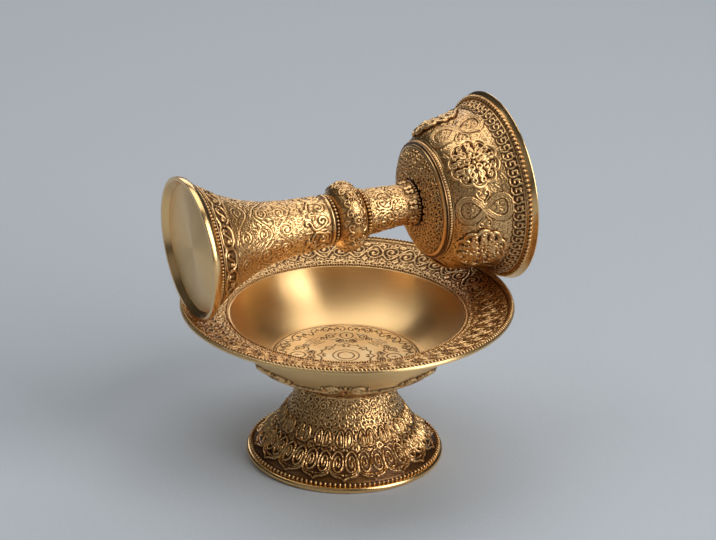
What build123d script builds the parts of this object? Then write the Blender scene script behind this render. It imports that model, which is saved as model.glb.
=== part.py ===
from build123d import *

import os
from math import copysign, cos, hypot, pi, radians, sin, sqrt

# Footed offering dish with its drink goblet lying across the rim, in turned and chased brass.
# Millimetres. +Z is up, the dish's axis is Z, and the origin is the centre of the foot's underside.
# The goblet is modelled upright on its own axis, then laid along +X on the dish's rim.
# Profiles are written as (radius, height) and turned about Z.

# Dish
RIM_RADIUS = 70.0
LIP_RADIUS = 49.1
FLANGE_RISE = 5.8
FLANGE_THICKNESS = 1.6
RIM_ROLL_RADIUS = 1.1
BASIN_DEPTH = 19.8
BASIN_WALL = 1.6
BASIN_BULGE = 3.3
FLOOR_RADIUS = 32.2
FLOOR_THICKNESS = 1.0
MEDALLION_MARGIN = 0.7
MEDALLION_THICKNESS = 0.8
FLOOR_BOSS_RADIUS = 10.0
FLOOR_BOSS_DEPTH = 3.7

# Foot of the dish
FOOT_RADIUS = 42.0
FOOT_HEIGHT = 33.6
FOOT_RING_HEIGHT = 2.7
FOOT_RING_BULGE = 1.0
FOOT_EDGE_WIDTH = 1.6
FOOT_SEAT_WIDTH = 2.85
FOOT_LEDGE_WIDTH = 1.5
FOOT_PLATE_RECESS = 1.0
FOOT_PLATE_THICKNESS = 0.9
FOOT_HOLLOW = 2.9
FOOT_WALL = 1.8
FOOT_WEB = 5.0
NECK_RADIUS = 19.9
COLLAR_HEIGHT = 8.7
COLLAR_RADIUS = 32.0
COLLAR_VALLEY_RADIUS = 25.5
COLLAR_BULGE = 1.3
COLLAR_LOBES = 12

# Cloud heads and petals in relief on the foot
CLOUD_COUNT = 18
CLOUD_LENGTH = 10.6
CLOUD_WIDTH = 11.0
CLOUD_LOOP = 2.65
CLOUD_SCALLOP = 2.7
CLOUD_RISE = 0.6
CLOUD_EYE = 1.3
CLOUD_EYE_RISE = 1.0
CLOUD_PLACE = 0.225
CLOUD_TURN = 5.2
PETAL_LENGTH = 7.6
PETAL_WIDTH = 4.4
PETAL_RISE = 0.7
PETAL_PLACE = 0.52

# Stem of the goblet, from its base ring up
BASE_RADIUS = 30.1
BASE_EDGE = 0.6
BASE_EDGE_WIDTH = 1.5
BASE_RING_HEIGHT = 4.4
BASE_RING_TOP_RADIUS = 26.9
BASE_RECESS_MARGIN = 0.4
BASE_LEDGE_WIDTH = 1.0
BASE_LEDGE_THICKNESS = 1.0
BASE_PLATE_THICKNESS = 1.0
BASE_WIRE_STEP = 0.5
TRUMPET_OVERHANG = 0.55
TRUMPET_SEAT_WIDTH = 2.35
TRUMPET_FLARE_LENGTH = 29.0
TRUMPET_FLARE_HOLLOW = 1.75
TRUMPET_WAIST_RADIUS = 13.2
TRUMPET_NECK_LENGTH = 27.2
TRUMPET_NECK_HOLLOW = 0.3
TRUMPET_TOP_RADIUS = 10.6
TRUMPET_WALL = 1.6
TRUMPET_WEB = 14.0
KNOP_END_RADIUS = 10.3
KNOP_RADIUS = 14.7
KNOP_HEIGHT = 13.0
ROSETTE_COUNT = 8
ROSETTE_WIDTH = 7.0
ROSETTE_RISE = 0.7
STEM_LENGTH = 17.1
STEM_BOTTOM_RADIUS = 10.0
STEM_TOP_RADIUS = 8.9
STEM_HOLLOW = 0.3
STEM_COLLAR_HEIGHT = 4.7
STEM_COLLAR_RADIUS = 9.5
CALYX_HEIGHT = 4.2
CALYX_FOOT_RADIUS = 9.6
CALYX_MARGIN = 0.8
CALYX_BULGE = 1.2

# Cup of the goblet
CUP_BOSS_RADIUS = 6.0
CUP_ROOT_RADIUS = 24.0
BAND_HEIGHT = 2.25
BAND_THICKNESS = 1.15
CUP_SHOULDER = 0.9
CUP_BELLY_LENGTH = 10.6
CUP_BELLY_RADIUS = 31.6
CUP_BELLY_BULGE = 1.55
CUP_FLARE_LENGTH = 17.3
CUP_FLARE_RADIUS = 37.5
CUP_LIP_LENGTH = 4.2
CUP_LIP_SPREAD = 3.0
CUP_LIP_EDGE = 0.6
CUP_LIP_WIDTH = 1.4
CUP_LIP_ROOT_LENGTH = 2.1
CUP_LIP_ROOT_SPREAD = 1.1
CUP_WALL = 1.6
CARTOUCHE_COUNT = 5
CARTOUCHE_RADIUS = 10.4
CARTOUCHE_LOBES = 8
CARTOUCHE_LOBE_RADIUS = 3.3
CARTOUCHE_ABOVE_BELLY = 0.35
CARTOUCHE_TURN = 45.5
CARTOUCHE_PLATE = 0.7
CARTOUCHE_BORDER = 1.4
CARTOUCHE_BORDER_WIDTH = 1.5
CARTOUCHE_BOSS = 1.8
CARTOUCHE_BOSS_RADIUS = 4.9

# Beaded wires, by the radius of the wire
RIM_WIRE = 0.8
LIP_WIRE = 0.5
FOOT_WIRE = 0.8
BASE_WIRE = 0.75
KNOP_WIRE = 0.75
STEM_WIRE = 0.75
CUP_WIRE = 0.95

# M6 fasteners
SCREW_RADIUS = 3.0
SCREW_HEAD_RADIUS = 6.0
SCREW_HEAD_HEIGHT = 3.3
SCREW_END = 1.5
NUT_ACROSS_FLATS = 10.0
NUT_HEIGHT = 5.0
WASHER_RADIUS = 6.0
WASHER_THICKNESS = 1.6
ROD_ENGAGEMENT = 6.2

# Clearances
BORE_CLEARANCE = 0.1
SOLDER_GAP = 0.05
GROOVE_GAP = 0.15
REST_GAP = 0.15

# How the goblet lies on the dish
GOBLET_OFFSET_Y = 9.4
CUP_REST_DEPTH = 6.3
BASE_REST_INSET = 0.6


class Bow:
    """Arc of a profile from start to end, which bulges to the left of its way by rise."""

    def __init__(self, start, end, rise):
        self.start = Vector(*start)
        self.end = Vector(*end)
        self.rise = rise
        chord = self.end - self.start
        self.bend = ((chord.length / 2) ** 2 + rise**2) / (2 * abs(rise))
        left = chord.rotate(Axis.Z, 90).normalized()
        self.centre = (self.start + self.end) * 0.5 + left * (rise - copysign(self.bend, rise))

    def edge(self):
        return SagittaArc(self.start, self.end, self.rise)

    def beside(self, distance):
        """The parallel arc, to the left of this one by distance."""
        share = (self.bend + copysign(distance, self.rise * distance)) / self.bend
        start = self.centre + (self.start - self.centre) * share
        end = self.centre + (self.end - self.centre) * share
        return Bow((start.X, start.Y), (end.X, end.Y), self.rise * share)

    def back(self):
        """The same arc, travelled the other way."""
        return Bow((self.end.X, self.end.Y), (self.start.X, self.start.Y), -self.rise)

    def radius_at(self, height):
        """Radius of the turned surface at a height on an arc that runs upward."""
        side = -copysign(1, self.rise)
        return self.centre.X + side * sqrt(self.bend**2 - (height - self.centre.Y) ** 2)

    def place(self, share):
        """Point at a share of the way, and the unit vector along the arc there."""
        edge = self.edge()
        return edge @ share, edge % share

    def onward(self, end):
        """The arc that goes on smoothly from this one's end to another point."""
        way = self.place(1)[1]
        chord = Vector(*end) - self.end
        turn = (chord.X * way.Y - chord.Y * way.X) / (chord.length + chord.dot(way))
        return Bow((self.end.X, self.end.Y), end, chord.length / 2 * turn)


def outline(*steps):
    """Closed face from points and arcs in order, joined by straight lines."""
    edges = []
    first = None
    at = None
    for step in steps:
        start, end = (step.start, step.end) if isinstance(step, Bow) else (Vector(*step), Vector(*step))
        if at is not None and (start - at).length > 1e-6:
            edges.append(Line(at, start))
        if isinstance(step, Bow):
            edges.append(step.edge())
        first = start if first is None else first
        at = end
    edges.append(Line(at, first))
    return make_face([edge.edge() for edge in edges])


def turned(face):
    """Solid made by turning a profile face about Z."""
    return revolve(Plane.XZ * face, Axis.Z)


def block(low_radius, high_radius, low, high):
    """Rectangle of a profile between two radii and two heights."""
    return outline((low_radius, low), (high_radius, low), (high_radius, high), (low_radius, high))


def tube(inner_radius, outer_radius, low, high):
    return turned(block(inner_radius, outer_radius, low, high))


def disc(radius, low, high):
    return Pos(0, 0, low) * Cylinder(radius, high - low, align=(Align.CENTER, Align.CENTER, Align.MIN))


def wire_ring(ring_radius, wire_radius, height):
    return Pos(0, 0, height) * Torus(ring_radius, wire_radius)


def wire_groove(ring_radius, wire_radius, height):
    return wire_ring(ring_radius, wire_radius + GROOVE_GAP, height)


def hex_nut(low):
    flats = RegularPolygon(NUT_ACROSS_FLATS / 2, 6, major_radius=False)
    return Pos(0, 0, low) * extrude(flats - Circle(BORE_RADIUS), NUT_HEIGHT)


def washer(low):
    return tube(BORE_RADIUS, WASHER_RADIUS, low, low + WASHER_THICKNESS)


def around(shape, count, turn=0.0):
    """Copies of a shape, evenly spaced about Z."""
    return [Rot(0, 0, turn + 360 * number / count) * shape for number in range(count)]


# Heights and radii of the dish that follow from the driving sizes
BORE_RADIUS = SCREW_RADIUS + BORE_CLEARANCE
FLANGE_SLOPE = FLANGE_RISE / (RIM_RADIUS - LIP_RADIUS)
FLANGE_COS = 1 / hypot(1, FLANGE_SLOPE)
UNDERSIDE_HEIGHT = FOOT_HEIGHT + COLLAR_HEIGHT
BOSS_HEIGHT = UNDERSIDE_HEIGHT - FLOOR_BOSS_DEPTH
RECESS_HEIGHT = UNDERSIDE_HEIGHT + FLOOR_THICKNESS
FLOOR_HEIGHT = RECESS_HEIGHT + MEDALLION_THICKNESS
LIP_HEIGHT = FLOOR_HEIGHT + BASIN_DEPTH
RIM_HEIGHT = LIP_HEIGHT + FLANGE_RISE
MEDALLION_RADIUS = FLOOR_RADIUS - MEDALLION_MARGIN
RIM_WIRE_RADIUS = RIM_RADIUS - RIM_ROLL_RADIUS
LIP_WIRE_RADIUS = LIP_RADIUS + 2 * LIP_WIRE
RIM_ROLL_HEIGHT = RIM_HEIGHT - RIM_ROLL_RADIUS
FOOT_WIRE_HEIGHT = FOOT_RING_HEIGHT + FOOT_WIRE + SOLDER_GAP
FOOT_WIRE_RADIUS = FOOT_RADIUS - FOOT_RING_BULGE - FOOT_WIRE
FOOT_SHOULDER_HEIGHT = FOOT_WIRE_HEIGHT + FOOT_WIRE + SOLDER_GAP
FOOT_SHELL_RADIUS = FOOT_WIRE_RADIUS - FOOT_WIRE - SOLDER_GAP
FOOT_CAVITY_RADIUS = FOOT_SHELL_RADIUS - FOOT_SEAT_WIDTH
FOOT_RECESS_RADIUS = FOOT_RADIUS - FOOT_RING_BULGE - FOOT_EDGE_WIDTH
FOOT_WEB_HEIGHT = FOOT_HEIGHT - FOOT_WEB

# Heights and radii of the goblet, measured along its own axis from the base ring
BASE_LEDGE_HEIGHT = BASE_RING_HEIGHT - BASE_LEDGE_THICKNESS
BASE_PLATE_RADIUS = BASE_RING_TOP_RADIUS - BASE_RECESS_MARGIN
BASE_WIRE_HEIGHT = BASE_RING_HEIGHT + BASE_WIRE + SOLDER_GAP
BASE_WIRE_RADIUS = BASE_RING_TOP_RADIUS - BASE_WIRE_STEP - BASE_WIRE
TRUMPET_SHOULDER_HEIGHT = BASE_WIRE_HEIGHT + BASE_WIRE + SOLDER_GAP
TRUMPET_RABBET_RADIUS = BASE_WIRE_RADIUS - BASE_WIRE - SOLDER_GAP
TRUMPET_CAVITY_RADIUS = TRUMPET_RABBET_RADIUS - TRUMPET_SEAT_WIDTH
TRUMPET_RADIUS = BASE_WIRE_RADIUS + TRUMPET_OVERHANG
TRUMPET_WAIST_HEIGHT = TRUMPET_SHOULDER_HEIGHT + TRUMPET_FLARE_LENGTH
TRUMPET_TOP_HEIGHT = TRUMPET_WAIST_HEIGHT + TRUMPET_NECK_LENGTH
TRUMPET_WEB_HEIGHT = TRUMPET_TOP_HEIGHT - TRUMPET_WEB
KNOP_GAP = 2 * (KNOP_WIRE + SOLDER_GAP)
KNOP_WIRE_RADIUS = KNOP_END_RADIUS - KNOP_WIRE / 2
KNOP_SPIGOT_RADIUS = KNOP_WIRE_RADIUS - KNOP_WIRE - SOLDER_GAP
KNOP_LOW = TRUMPET_TOP_HEIGHT + KNOP_GAP
KNOP_HIGH = KNOP_LOW + KNOP_HEIGHT
STEM_LOW = KNOP_HIGH + KNOP_GAP
STEM_HIGH = STEM_LOW + STEM_LENGTH
STEM_COLLAR_HIGH = STEM_HIGH + STEM_COLLAR_HEIGHT
STEM_WIRE_HEIGHT = STEM_COLLAR_HIGH + STEM_WIRE + SOLDER_GAP
STEM_WIRE_RADIUS = STEM_COLLAR_RADIUS - STEM_WIRE
STEM_SPIGOT_RADIUS = STEM_WIRE_RADIUS - STEM_WIRE - SOLDER_GAP
CALYX_LOW = STEM_WIRE_HEIGHT + STEM_WIRE + SOLDER_GAP
CALYX_RADIUS = CUP_ROOT_RADIUS + CALYX_MARGIN
CUP_LOW = CALYX_LOW + CALYX_HEIGHT
BAND_BORE_RADIUS = CUP_ROOT_RADIUS + SOLDER_GAP
CUP_SHOULDER_HEIGHT = CUP_LOW + BAND_HEIGHT + SOLDER_GAP
CUP_SHOULDER_RADIUS = CUP_ROOT_RADIUS + CUP_SHOULDER
CUP_BELLY_HEIGHT = CUP_SHOULDER_HEIGHT + CUP_BELLY_LENGTH
CUP_FLARE_HEIGHT = CUP_BELLY_HEIGHT + CUP_FLARE_LENGTH
GOBLET_LENGTH = CUP_FLARE_HEIGHT + CUP_LIP_LENGTH
CUP_LIP_RADIUS = CUP_FLARE_RADIUS + CUP_LIP_SPREAD
CUP_LIP_ROOT_RADIUS = CUP_FLARE_RADIUS + CUP_LIP_ROOT_SPREAD
CUP_LIP_ROOT_HEIGHT = CUP_FLARE_HEIGHT + CUP_LIP_ROOT_LENGTH
CUP_WIRE_RADIUS = (CUP_FLARE_RADIUS + CUP_LIP_ROOT_RADIUS) / 2 + CUP_WIRE / 4
CUP_WIRE_HEIGHT = (CUP_FLARE_HEIGHT + CUP_LIP_ROOT_HEIGHT) / 2
CARTOUCHE_HEIGHT = CUP_BELLY_HEIGHT + CARTOUCHE_ABOVE_BELLY
ROD_LOW = TRUMPET_WEB_HEIGHT - WASHER_THICKNESS - NUT_HEIGHT - SCREW_END
ROD_HIGH = CALYX_LOW + ROD_ENGAGEMENT

# Arcs that more than one piece follows
BASIN_ARC = Bow((FLOOR_RADIUS, FLOOR_HEIGHT), (LIP_RADIUS, LIP_HEIGHT), -BASIN_BULGE)
FOOT_ARC = Bow((FOOT_SHELL_RADIUS, FOOT_SHOULDER_HEIGHT), (NECK_RADIUS, FOOT_HEIGHT), FOOT_HOLLOW)
CUP_BELLY_ARC = Bow(
    (CUP_SHOULDER_RADIUS, CUP_SHOULDER_HEIGHT), (CUP_BELLY_RADIUS, CUP_BELLY_HEIGHT), -CUP_BELLY_BULGE
)
CUP_FLARE_ARC = CUP_BELLY_ARC.onward((CUP_FLARE_RADIUS, CUP_FLARE_HEIGHT))


def flange_height(radius):
    """Height of the flange's upper face at a radius."""
    return LIP_HEIGHT + (radius - LIP_RADIUS) * FLANGE_SLOPE


RIM_WIRE_HEIGHT = flange_height(RIM_WIRE_RADIUS) + RIM_WIRE / 3
LIP_WIRE_HEIGHT = flange_height(LIP_WIRE_RADIUS) + LIP_WIRE / 3


def make_dish():
    """Basin, sloping flange and rolled rim in one spun piece, with a boss for the screw."""
    outer = BASIN_ARC.beside(-BASIN_WALL)
    wall = outline(BASIN_ARC, outer.back())
    floor = outline(
        (0, UNDERSIDE_HEIGHT), (FLOOR_RADIUS, UNDERSIDE_HEIGHT), (outer.start.X, outer.start.Y),
        (FLOOR_RADIUS, FLOOR_HEIGHT), (0, FLOOR_HEIGHT),
    )
    drop = FLANGE_THICKNESS / FLANGE_COS
    flange = outline(
        (LIP_RADIUS, LIP_HEIGHT), (LIP_RADIUS, LIP_HEIGHT - drop),
        (RIM_WIRE_RADIUS, flange_height(RIM_WIRE_RADIUS) - drop),
        (RIM_WIRE_RADIUS, flange_height(RIM_WIRE_RADIUS)),
    )
    roll = Pos(RIM_WIRE_RADIUS, RIM_ROLL_HEIGHT) * Circle(RIM_ROLL_RADIUS)
    boss = block(0, FLOOR_BOSS_RADIUS, BOSS_HEIGHT, FLOOR_HEIGHT)
    body = turned(wall + floor + flange + roll + boss)
    body -= disc(MEDALLION_RADIUS + SOLDER_GAP, RECESS_HEIGHT, FLOOR_HEIGHT)
    body -= disc(BORE_RADIUS, BOSS_HEIGHT, RECESS_HEIGHT)
    body -= screw_head(BORE_CLEARANCE)
    body -= wire_groove(RIM_WIRE_RADIUS, RIM_WIRE, RIM_WIRE_HEIGHT)
    body -= wire_groove(LIP_WIRE_RADIUS, LIP_WIRE, LIP_WIRE_HEIGHT)
    return body


def screw_head(clearance):
    """Cone of the countersunk head, with its top just under the medallion."""
    top = RECESS_HEIGHT - BORE_CLEARANCE + clearance
    low = top - SCREW_HEAD_HEIGHT
    return turned(
        outline((0, low), (SCREW_RADIUS + clearance, low), (SCREW_HEAD_RADIUS + clearance, top), (0, top))
    )


def make_foot_collar():
    """Scalloped collar that spreads from the neck to the underside of the basin."""
    flare = Bow((NECK_RADIUS, FOOT_HEIGHT), (COLLAR_RADIUS, UNDERSIDE_HEIGHT), -COLLAR_BULGE)
    body = turned(outline((0, FOOT_HEIGHT), flare, (0, UNDERSIDE_HEIGHT)))
    lobe_radius = COLLAR_RADIUS * sin(pi / COLLAR_LOBES)
    lobe = Pos(COLLAR_RADIUS - lobe_radius, 0, FOOT_HEIGHT) * extrude(Circle(lobe_radius), FLOOR_HEIGHT)
    scallops = disc(COLLAR_VALLEY_RADIUS, FOOT_HEIGHT, FLOOR_HEIGHT) + around(lobe, COLLAR_LOBES)
    body &= scallops
    body -= disc(FLOOR_BOSS_RADIUS + BORE_CLEARANCE, BOSS_HEIGHT, UNDERSIDE_HEIGHT)
    body -= disc(BORE_RADIUS, FOOT_HEIGHT, BOSS_HEIGHT)
    return body


def foot_relief(sketch, share, rise):
    """Raised piece with the sketch's outline that follows the foot's face, sketched with X up the foot."""
    skin = turned(outline(FOOT_ARC.beside(FOOT_WALL / 2), FOOT_ARC.beside(-rise).back()))
    point, way = FOOT_ARC.place(share)
    along = Vector(way.X, 0, way.Y)
    face = Plane(origin=(point.X, 0, point.Y), x_dir=along, z_dir=Vector(0, 1, 0).cross(along))
    return skin & extrude(face * sketch, 2 * FOOT_WALL, both=True)


def petal_outline(length, width):
    """Pointed oval."""
    tip = (length / 2, 0)
    root = (-length / 2, 0)
    sides = [SagittaArc(root, tip, width / 2), SagittaArc(tip, root, width / 2)]
    return make_face([side.edge() for side in sides])


def cloud_outline():
    """Cloud head with two round loops above and two wider scallops below."""
    sketch = Rectangle(CLOUD_LENGTH / 2, CLOUD_WIDTH / 2)
    for side in (-1, 1):
        sketch += Pos(CLOUD_LENGTH / 2 - CLOUD_LOOP, side * CLOUD_WIDTH / 4) * Circle(CLOUD_LOOP)
        sketch += Pos(CLOUD_SCALLOP - CLOUD_LENGTH / 2, side * CLOUD_WIDTH / 4) * Circle(CLOUD_SCALLOP)
    return sketch


def make_foot_shell():
    """Hollow flared foot with a ring of paired petals over a ring of cloud heads."""
    body = turned(
        outline((0, FOOT_RING_HEIGHT), (FOOT_SHELL_RADIUS, FOOT_RING_HEIGHT),
                FOOT_ARC, (0, FOOT_HEIGHT))
    )
    cloud = foot_relief(cloud_outline(), CLOUD_PLACE, CLOUD_RISE)
    for side in (-1, 1):
        eye = Pos(CLOUD_LENGTH / 2 - CLOUD_LOOP, side * CLOUD_WIDTH / 4) * Circle(CLOUD_EYE)
        cloud += foot_relief(eye, CLOUD_PLACE, CLOUD_EYE_RISE)
    petal = foot_relief(petal_outline(PETAL_LENGTH, PETAL_WIDTH), PETAL_PLACE, PETAL_RISE)
    half_step = 180 / CLOUD_COUNT
    body += around(cloud, CLOUD_COUNT, half_step) + around(petal, 2 * CLOUD_COUNT, half_step / 2)
    inner = FOOT_ARC.beside(FOOT_WALL)
    hollow = outline((0, FOOT_RING_HEIGHT), (inner.start.X, FOOT_RING_HEIGHT), inner, (0, FOOT_HEIGHT))
    hollow &= block(0, FOOT_CAVITY_RADIUS, FOOT_RING_HEIGHT, FOOT_WEB_HEIGHT)
    body -= turned(hollow)
    body -= disc(BORE_RADIUS, FOOT_WEB_HEIGHT, FOOT_HEIGHT)
    return Rot(0, 0, CLOUD_TURN) * body


def make_foot_ring():
    """Polished ring under the foot, with a ledge that the base plate seats against."""
    recess_top = FOOT_PLATE_RECESS + FOOT_PLATE_THICKNESS
    edge_radius = FOOT_RADIUS - FOOT_RING_BULGE
    ledge_radius = FOOT_CAVITY_RADIUS - FOOT_LEDGE_WIDTH
    edge = Bow((edge_radius, 0), (edge_radius, FOOT_RING_HEIGHT), -FOOT_RING_BULGE)
    return turned(
        outline((FOOT_RECESS_RADIUS, 0), edge, (ledge_radius, FOOT_RING_HEIGHT),
                (ledge_radius, recess_top), (FOOT_RECESS_RADIUS, recess_top))
    )


def make_foot_base_plate():
    high = FOOT_PLATE_RECESS + FOOT_PLATE_THICKNESS
    return disc(FOOT_RECESS_RADIUS - SOLDER_GAP, FOOT_PLATE_RECESS, high)


def make_pedestal_screw():
    low = FOOT_WEB_HEIGHT - WASHER_THICKNESS - NUT_HEIGHT - SCREW_END
    return screw_head(0) + disc(SCREW_RADIUS, low, RECESS_HEIGHT - BORE_CLEARANCE - SCREW_HEAD_HEIGHT)


def make_base_ring():
    """Polished flared ring that the goblet stands on, recessed for its base plate."""
    recess_radius = BASE_PLATE_RADIUS + SOLDER_GAP
    ledge_radius = TRUMPET_CAVITY_RADIUS - BASE_LEDGE_WIDTH
    return turned(
        outline((BASE_RADIUS - BASE_EDGE_WIDTH, 0), (BASE_RADIUS, 0), (BASE_RADIUS, BASE_EDGE),
                (BASE_RING_TOP_RADIUS, BASE_RING_HEIGHT), (ledge_radius, BASE_RING_HEIGHT),
                (ledge_radius, BASE_LEDGE_HEIGHT), (recess_radius, BASE_LEDGE_HEIGHT),
                (recess_radius, BASE_LEDGE_HEIGHT - BASE_PLATE_THICKNESS))
    )


def make_base_plate():
    return disc(BASE_PLATE_RADIUS, BASE_LEDGE_HEIGHT - BASE_PLATE_THICKNESS, BASE_LEDGE_HEIGHT)


def make_trumpet():
    """Hollow flared foot of the goblet, closed by a thick web that the rod's nut pulls against."""
    shoulder = (TRUMPET_RADIUS, TRUMPET_SHOULDER_HEIGHT)
    waist = (TRUMPET_WAIST_RADIUS, TRUMPET_WAIST_HEIGHT)
    low = Bow(shoulder, waist, TRUMPET_FLARE_HOLLOW)
    high = Bow(waist, (TRUMPET_TOP_RADIUS, TRUMPET_TOP_HEIGHT), TRUMPET_NECK_HOLLOW)
    body = turned(
        outline((0, BASE_RING_HEIGHT), (TRUMPET_RABBET_RADIUS, BASE_RING_HEIGHT),
                (TRUMPET_RABBET_RADIUS, TRUMPET_SHOULDER_HEIGHT), low, high, (0, TRUMPET_TOP_HEIGHT))
    )
    inner_low = low.beside(TRUMPET_WALL)
    inner_high = high.beside(TRUMPET_WALL)
    hollow = outline((0, BASE_RING_HEIGHT), (inner_low.start.X, BASE_RING_HEIGHT), inner_low, inner_high,
                     (0, TRUMPET_TOP_HEIGHT))
    hollow &= block(0, TRUMPET_CAVITY_RADIUS, BASE_RING_HEIGHT, TRUMPET_WEB_HEIGHT)
    body -= turned(hollow)
    body -= disc(BORE_RADIUS, TRUMPET_WEB_HEIGHT, TRUMPET_TOP_HEIGHT)
    return body


def make_knop():
    """Swelling of the stem with rosettes round its middle and a spigot at each end for a wire."""
    swell = Bow((KNOP_END_RADIUS, KNOP_LOW), (KNOP_END_RADIUS, KNOP_HIGH), KNOP_END_RADIUS - KNOP_RADIUS)
    body = turned(
        outline((0, TRUMPET_TOP_HEIGHT), (KNOP_SPIGOT_RADIUS, TRUMPET_TOP_HEIGHT),
                (KNOP_SPIGOT_RADIUS, KNOP_LOW), swell, (KNOP_SPIGOT_RADIUS, KNOP_HIGH),
                (KNOP_SPIGOT_RADIUS, STEM_LOW), (0, STEM_LOW))
    )
    height = KNOP_RADIUS + ROSETTE_RISE - KNOP_END_RADIUS
    button = Cone(ROSETTE_WIDTH / 2, ROSETTE_WIDTH / 2 - ROSETTE_RISE, height)
    middle = (KNOP_LOW + KNOP_HIGH) / 2
    rosette = Pos(KNOP_END_RADIUS + height / 2, 0, middle) * Rot(0, 90, 0) * button
    body += around(rosette, ROSETTE_COUNT, 180 / ROSETTE_COUNT)
    body -= disc(BORE_RADIUS, TRUMPET_TOP_HEIGHT, STEM_LOW)
    return body


def make_upper_stem():
    side = Bow((STEM_BOTTOM_RADIUS, STEM_LOW), (STEM_TOP_RADIUS, STEM_HIGH), STEM_HOLLOW)
    return turned(outline((BORE_RADIUS, STEM_LOW), side, (BORE_RADIUS, STEM_HIGH)))


def make_stem_collar():
    """Short flared collar with a spigot for its wire."""
    return turned(
        outline((BORE_RADIUS, STEM_HIGH), (STEM_TOP_RADIUS, STEM_HIGH),
                (STEM_COLLAR_RADIUS, STEM_COLLAR_HIGH), (STEM_SPIGOT_RADIUS, STEM_COLLAR_HIGH),
                (STEM_SPIGOT_RADIUS, CALYX_LOW), (BORE_RADIUS, CALYX_LOW))
    )


def make_calyx():
    """Shallow dome that carries the cup."""
    dome = Bow((CALYX_FOOT_RADIUS, CALYX_LOW), (CALYX_RADIUS, CUP_LOW), -CALYX_BULGE)
    inner = CUP_BOSS_RADIUS + BORE_CLEARANCE
    return turned(outline((inner, CALYX_LOW), dome, (inner, CUP_LOW)))


def make_cup_band():
    return tube(BAND_BORE_RADIUS, BAND_BORE_RADIUS + BAND_THICKNESS, CUP_LOW, CUP_LOW + BAND_HEIGHT)


def make_cup():
    """Cup with a round belly, a flare and a polished lip, and a boss below that takes the rod."""
    belly = CUP_BELLY_ARC.beside(CUP_WALL)
    flare = CUP_FLARE_ARC.beside(CUP_WALL)
    lip = Bow(
        (CUP_LIP_RADIUS, GOBLET_LENGTH - CUP_LIP_EDGE), (CUP_LIP_RADIUS - CUP_LIP_WIDTH, GOBLET_LENGTH),
        -CUP_LIP_EDGE / 2,
    )
    body = turned(
        outline((0, CALYX_LOW), (CUP_BOSS_RADIUS, CALYX_LOW), (CUP_BOSS_RADIUS, CUP_LOW),
                (CUP_ROOT_RADIUS, CUP_LOW), (CUP_ROOT_RADIUS, CUP_SHOULDER_HEIGHT), CUP_BELLY_ARC,
                CUP_FLARE_ARC, (CUP_LIP_ROOT_RADIUS, CUP_LIP_ROOT_HEIGHT), lip,
                flare.back(), belly.back(), (0, belly.start.Y))
    )
    body -= disc(BORE_RADIUS, CALYX_LOW, ROD_HIGH + BORE_CLEARANCE)
    body -= wire_groove(CUP_WIRE_RADIUS, CUP_WIRE, CUP_WIRE_HEIGHT)
    return body


def cup_skin(low, high):
    """Layer that follows the cup's wall between two heights above it."""
    inner_belly = CUP_BELLY_ARC.beside(-low)
    inner_flare = CUP_FLARE_ARC.beside(-low)
    outer_belly = CUP_BELLY_ARC.beside(-high)
    outer_flare = CUP_FLARE_ARC.beside(-high)
    return turned(outline(inner_belly, inner_flare, outer_flare.back(), outer_belly.back()))


def lobed(radius, lobe_radius, lobes):
    """Flat rosette outline of round lobes about a core."""
    reach = radius - lobe_radius
    lobe = Pos(reach, 0) * Circle(lobe_radius)
    return Circle(reach) + around(lobe, lobes)


def make_cup_cartouches():
    """Lobed plates with a raised border and a rosette, bent to the cup's wall."""
    plane = Plane(origin=(0, 0, CARTOUCHE_HEIGHT), x_dir=(0, 1, 0), z_dir=(1, 0, 0))
    inset = CARTOUCHE_BORDER_WIDTH
    plate = lobed(CARTOUCHE_RADIUS, CARTOUCHE_LOBE_RADIUS, CARTOUCHE_LOBES)
    opening = lobed(CARTOUCHE_RADIUS - inset, CARTOUCHE_LOBE_RADIUS - inset / 2, CARTOUCHE_LOBES)
    boss_lobe = CARTOUCHE_BOSS_RADIUS / 3
    boss = lobed(CARTOUCHE_BOSS_RADIUS, boss_lobe, CARTOUCHE_LOBES)
    layers = ((plate, CARTOUCHE_PLATE), (plate - opening, CARTOUCHE_BORDER), (boss, CARTOUCHE_BOSS))
    body = None
    for sketch, height in layers:
        layer = cup_skin(SOLDER_GAP, height) & extrude(plane * sketch, CUP_LIP_RADIUS)
        body = layer if body is None else body + layer
    return around(body, CARTOUCHE_COUNT, CARTOUCHE_TURN)


def make_tie_rod():
    return disc(SCREW_RADIUS, ROD_LOW, ROD_HIGH)


def cup_radius(height):
    """Greatest radius of the cup at a distance along the goblet, cartouches included."""
    if height >= CUP_FLARE_HEIGHT:
        share = (height - CUP_FLARE_HEIGHT) / (CUP_LIP_ROOT_HEIGHT - CUP_FLARE_HEIGHT)
        return CUP_FLARE_RADIUS + share * (CUP_LIP_ROOT_RADIUS - CUP_FLARE_RADIUS)
    arc = CUP_FLARE_ARC if height >= CUP_BELLY_HEIGHT else CUP_BELLY_ARC
    raised = CARTOUCHE_BOSS if abs(height - CARTOUCHE_HEIGHT) < CARTOUCHE_RADIUS else 0
    return arc.radius_at(max(height, CUP_SHOULDER_HEIGHT)) + raised


def base_gap(x, z, pitch):
    """Least distance from the base ring's edge to the flange and its wire, its centre being at x, z."""
    least = RIM_RADIUS
    for step in range(-90, 91):
        angle = radians(180 + step)
        up = BASE_RADIUS * cos(angle)
        radius = hypot(x - up * sin(pitch), GOBLET_OFFSET_Y - BASE_RADIUS * sin(angle))
        height = z + up * cos(pitch)
        flange_gap = (height - flange_height(radius)) * FLANGE_COS
        wire_gap = hypot(radius - RIM_WIRE_RADIUS, height - RIM_WIRE_HEIGHT) - RIM_WIRE
        least = min(least, flange_gap, wire_gap)
    return least


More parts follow.
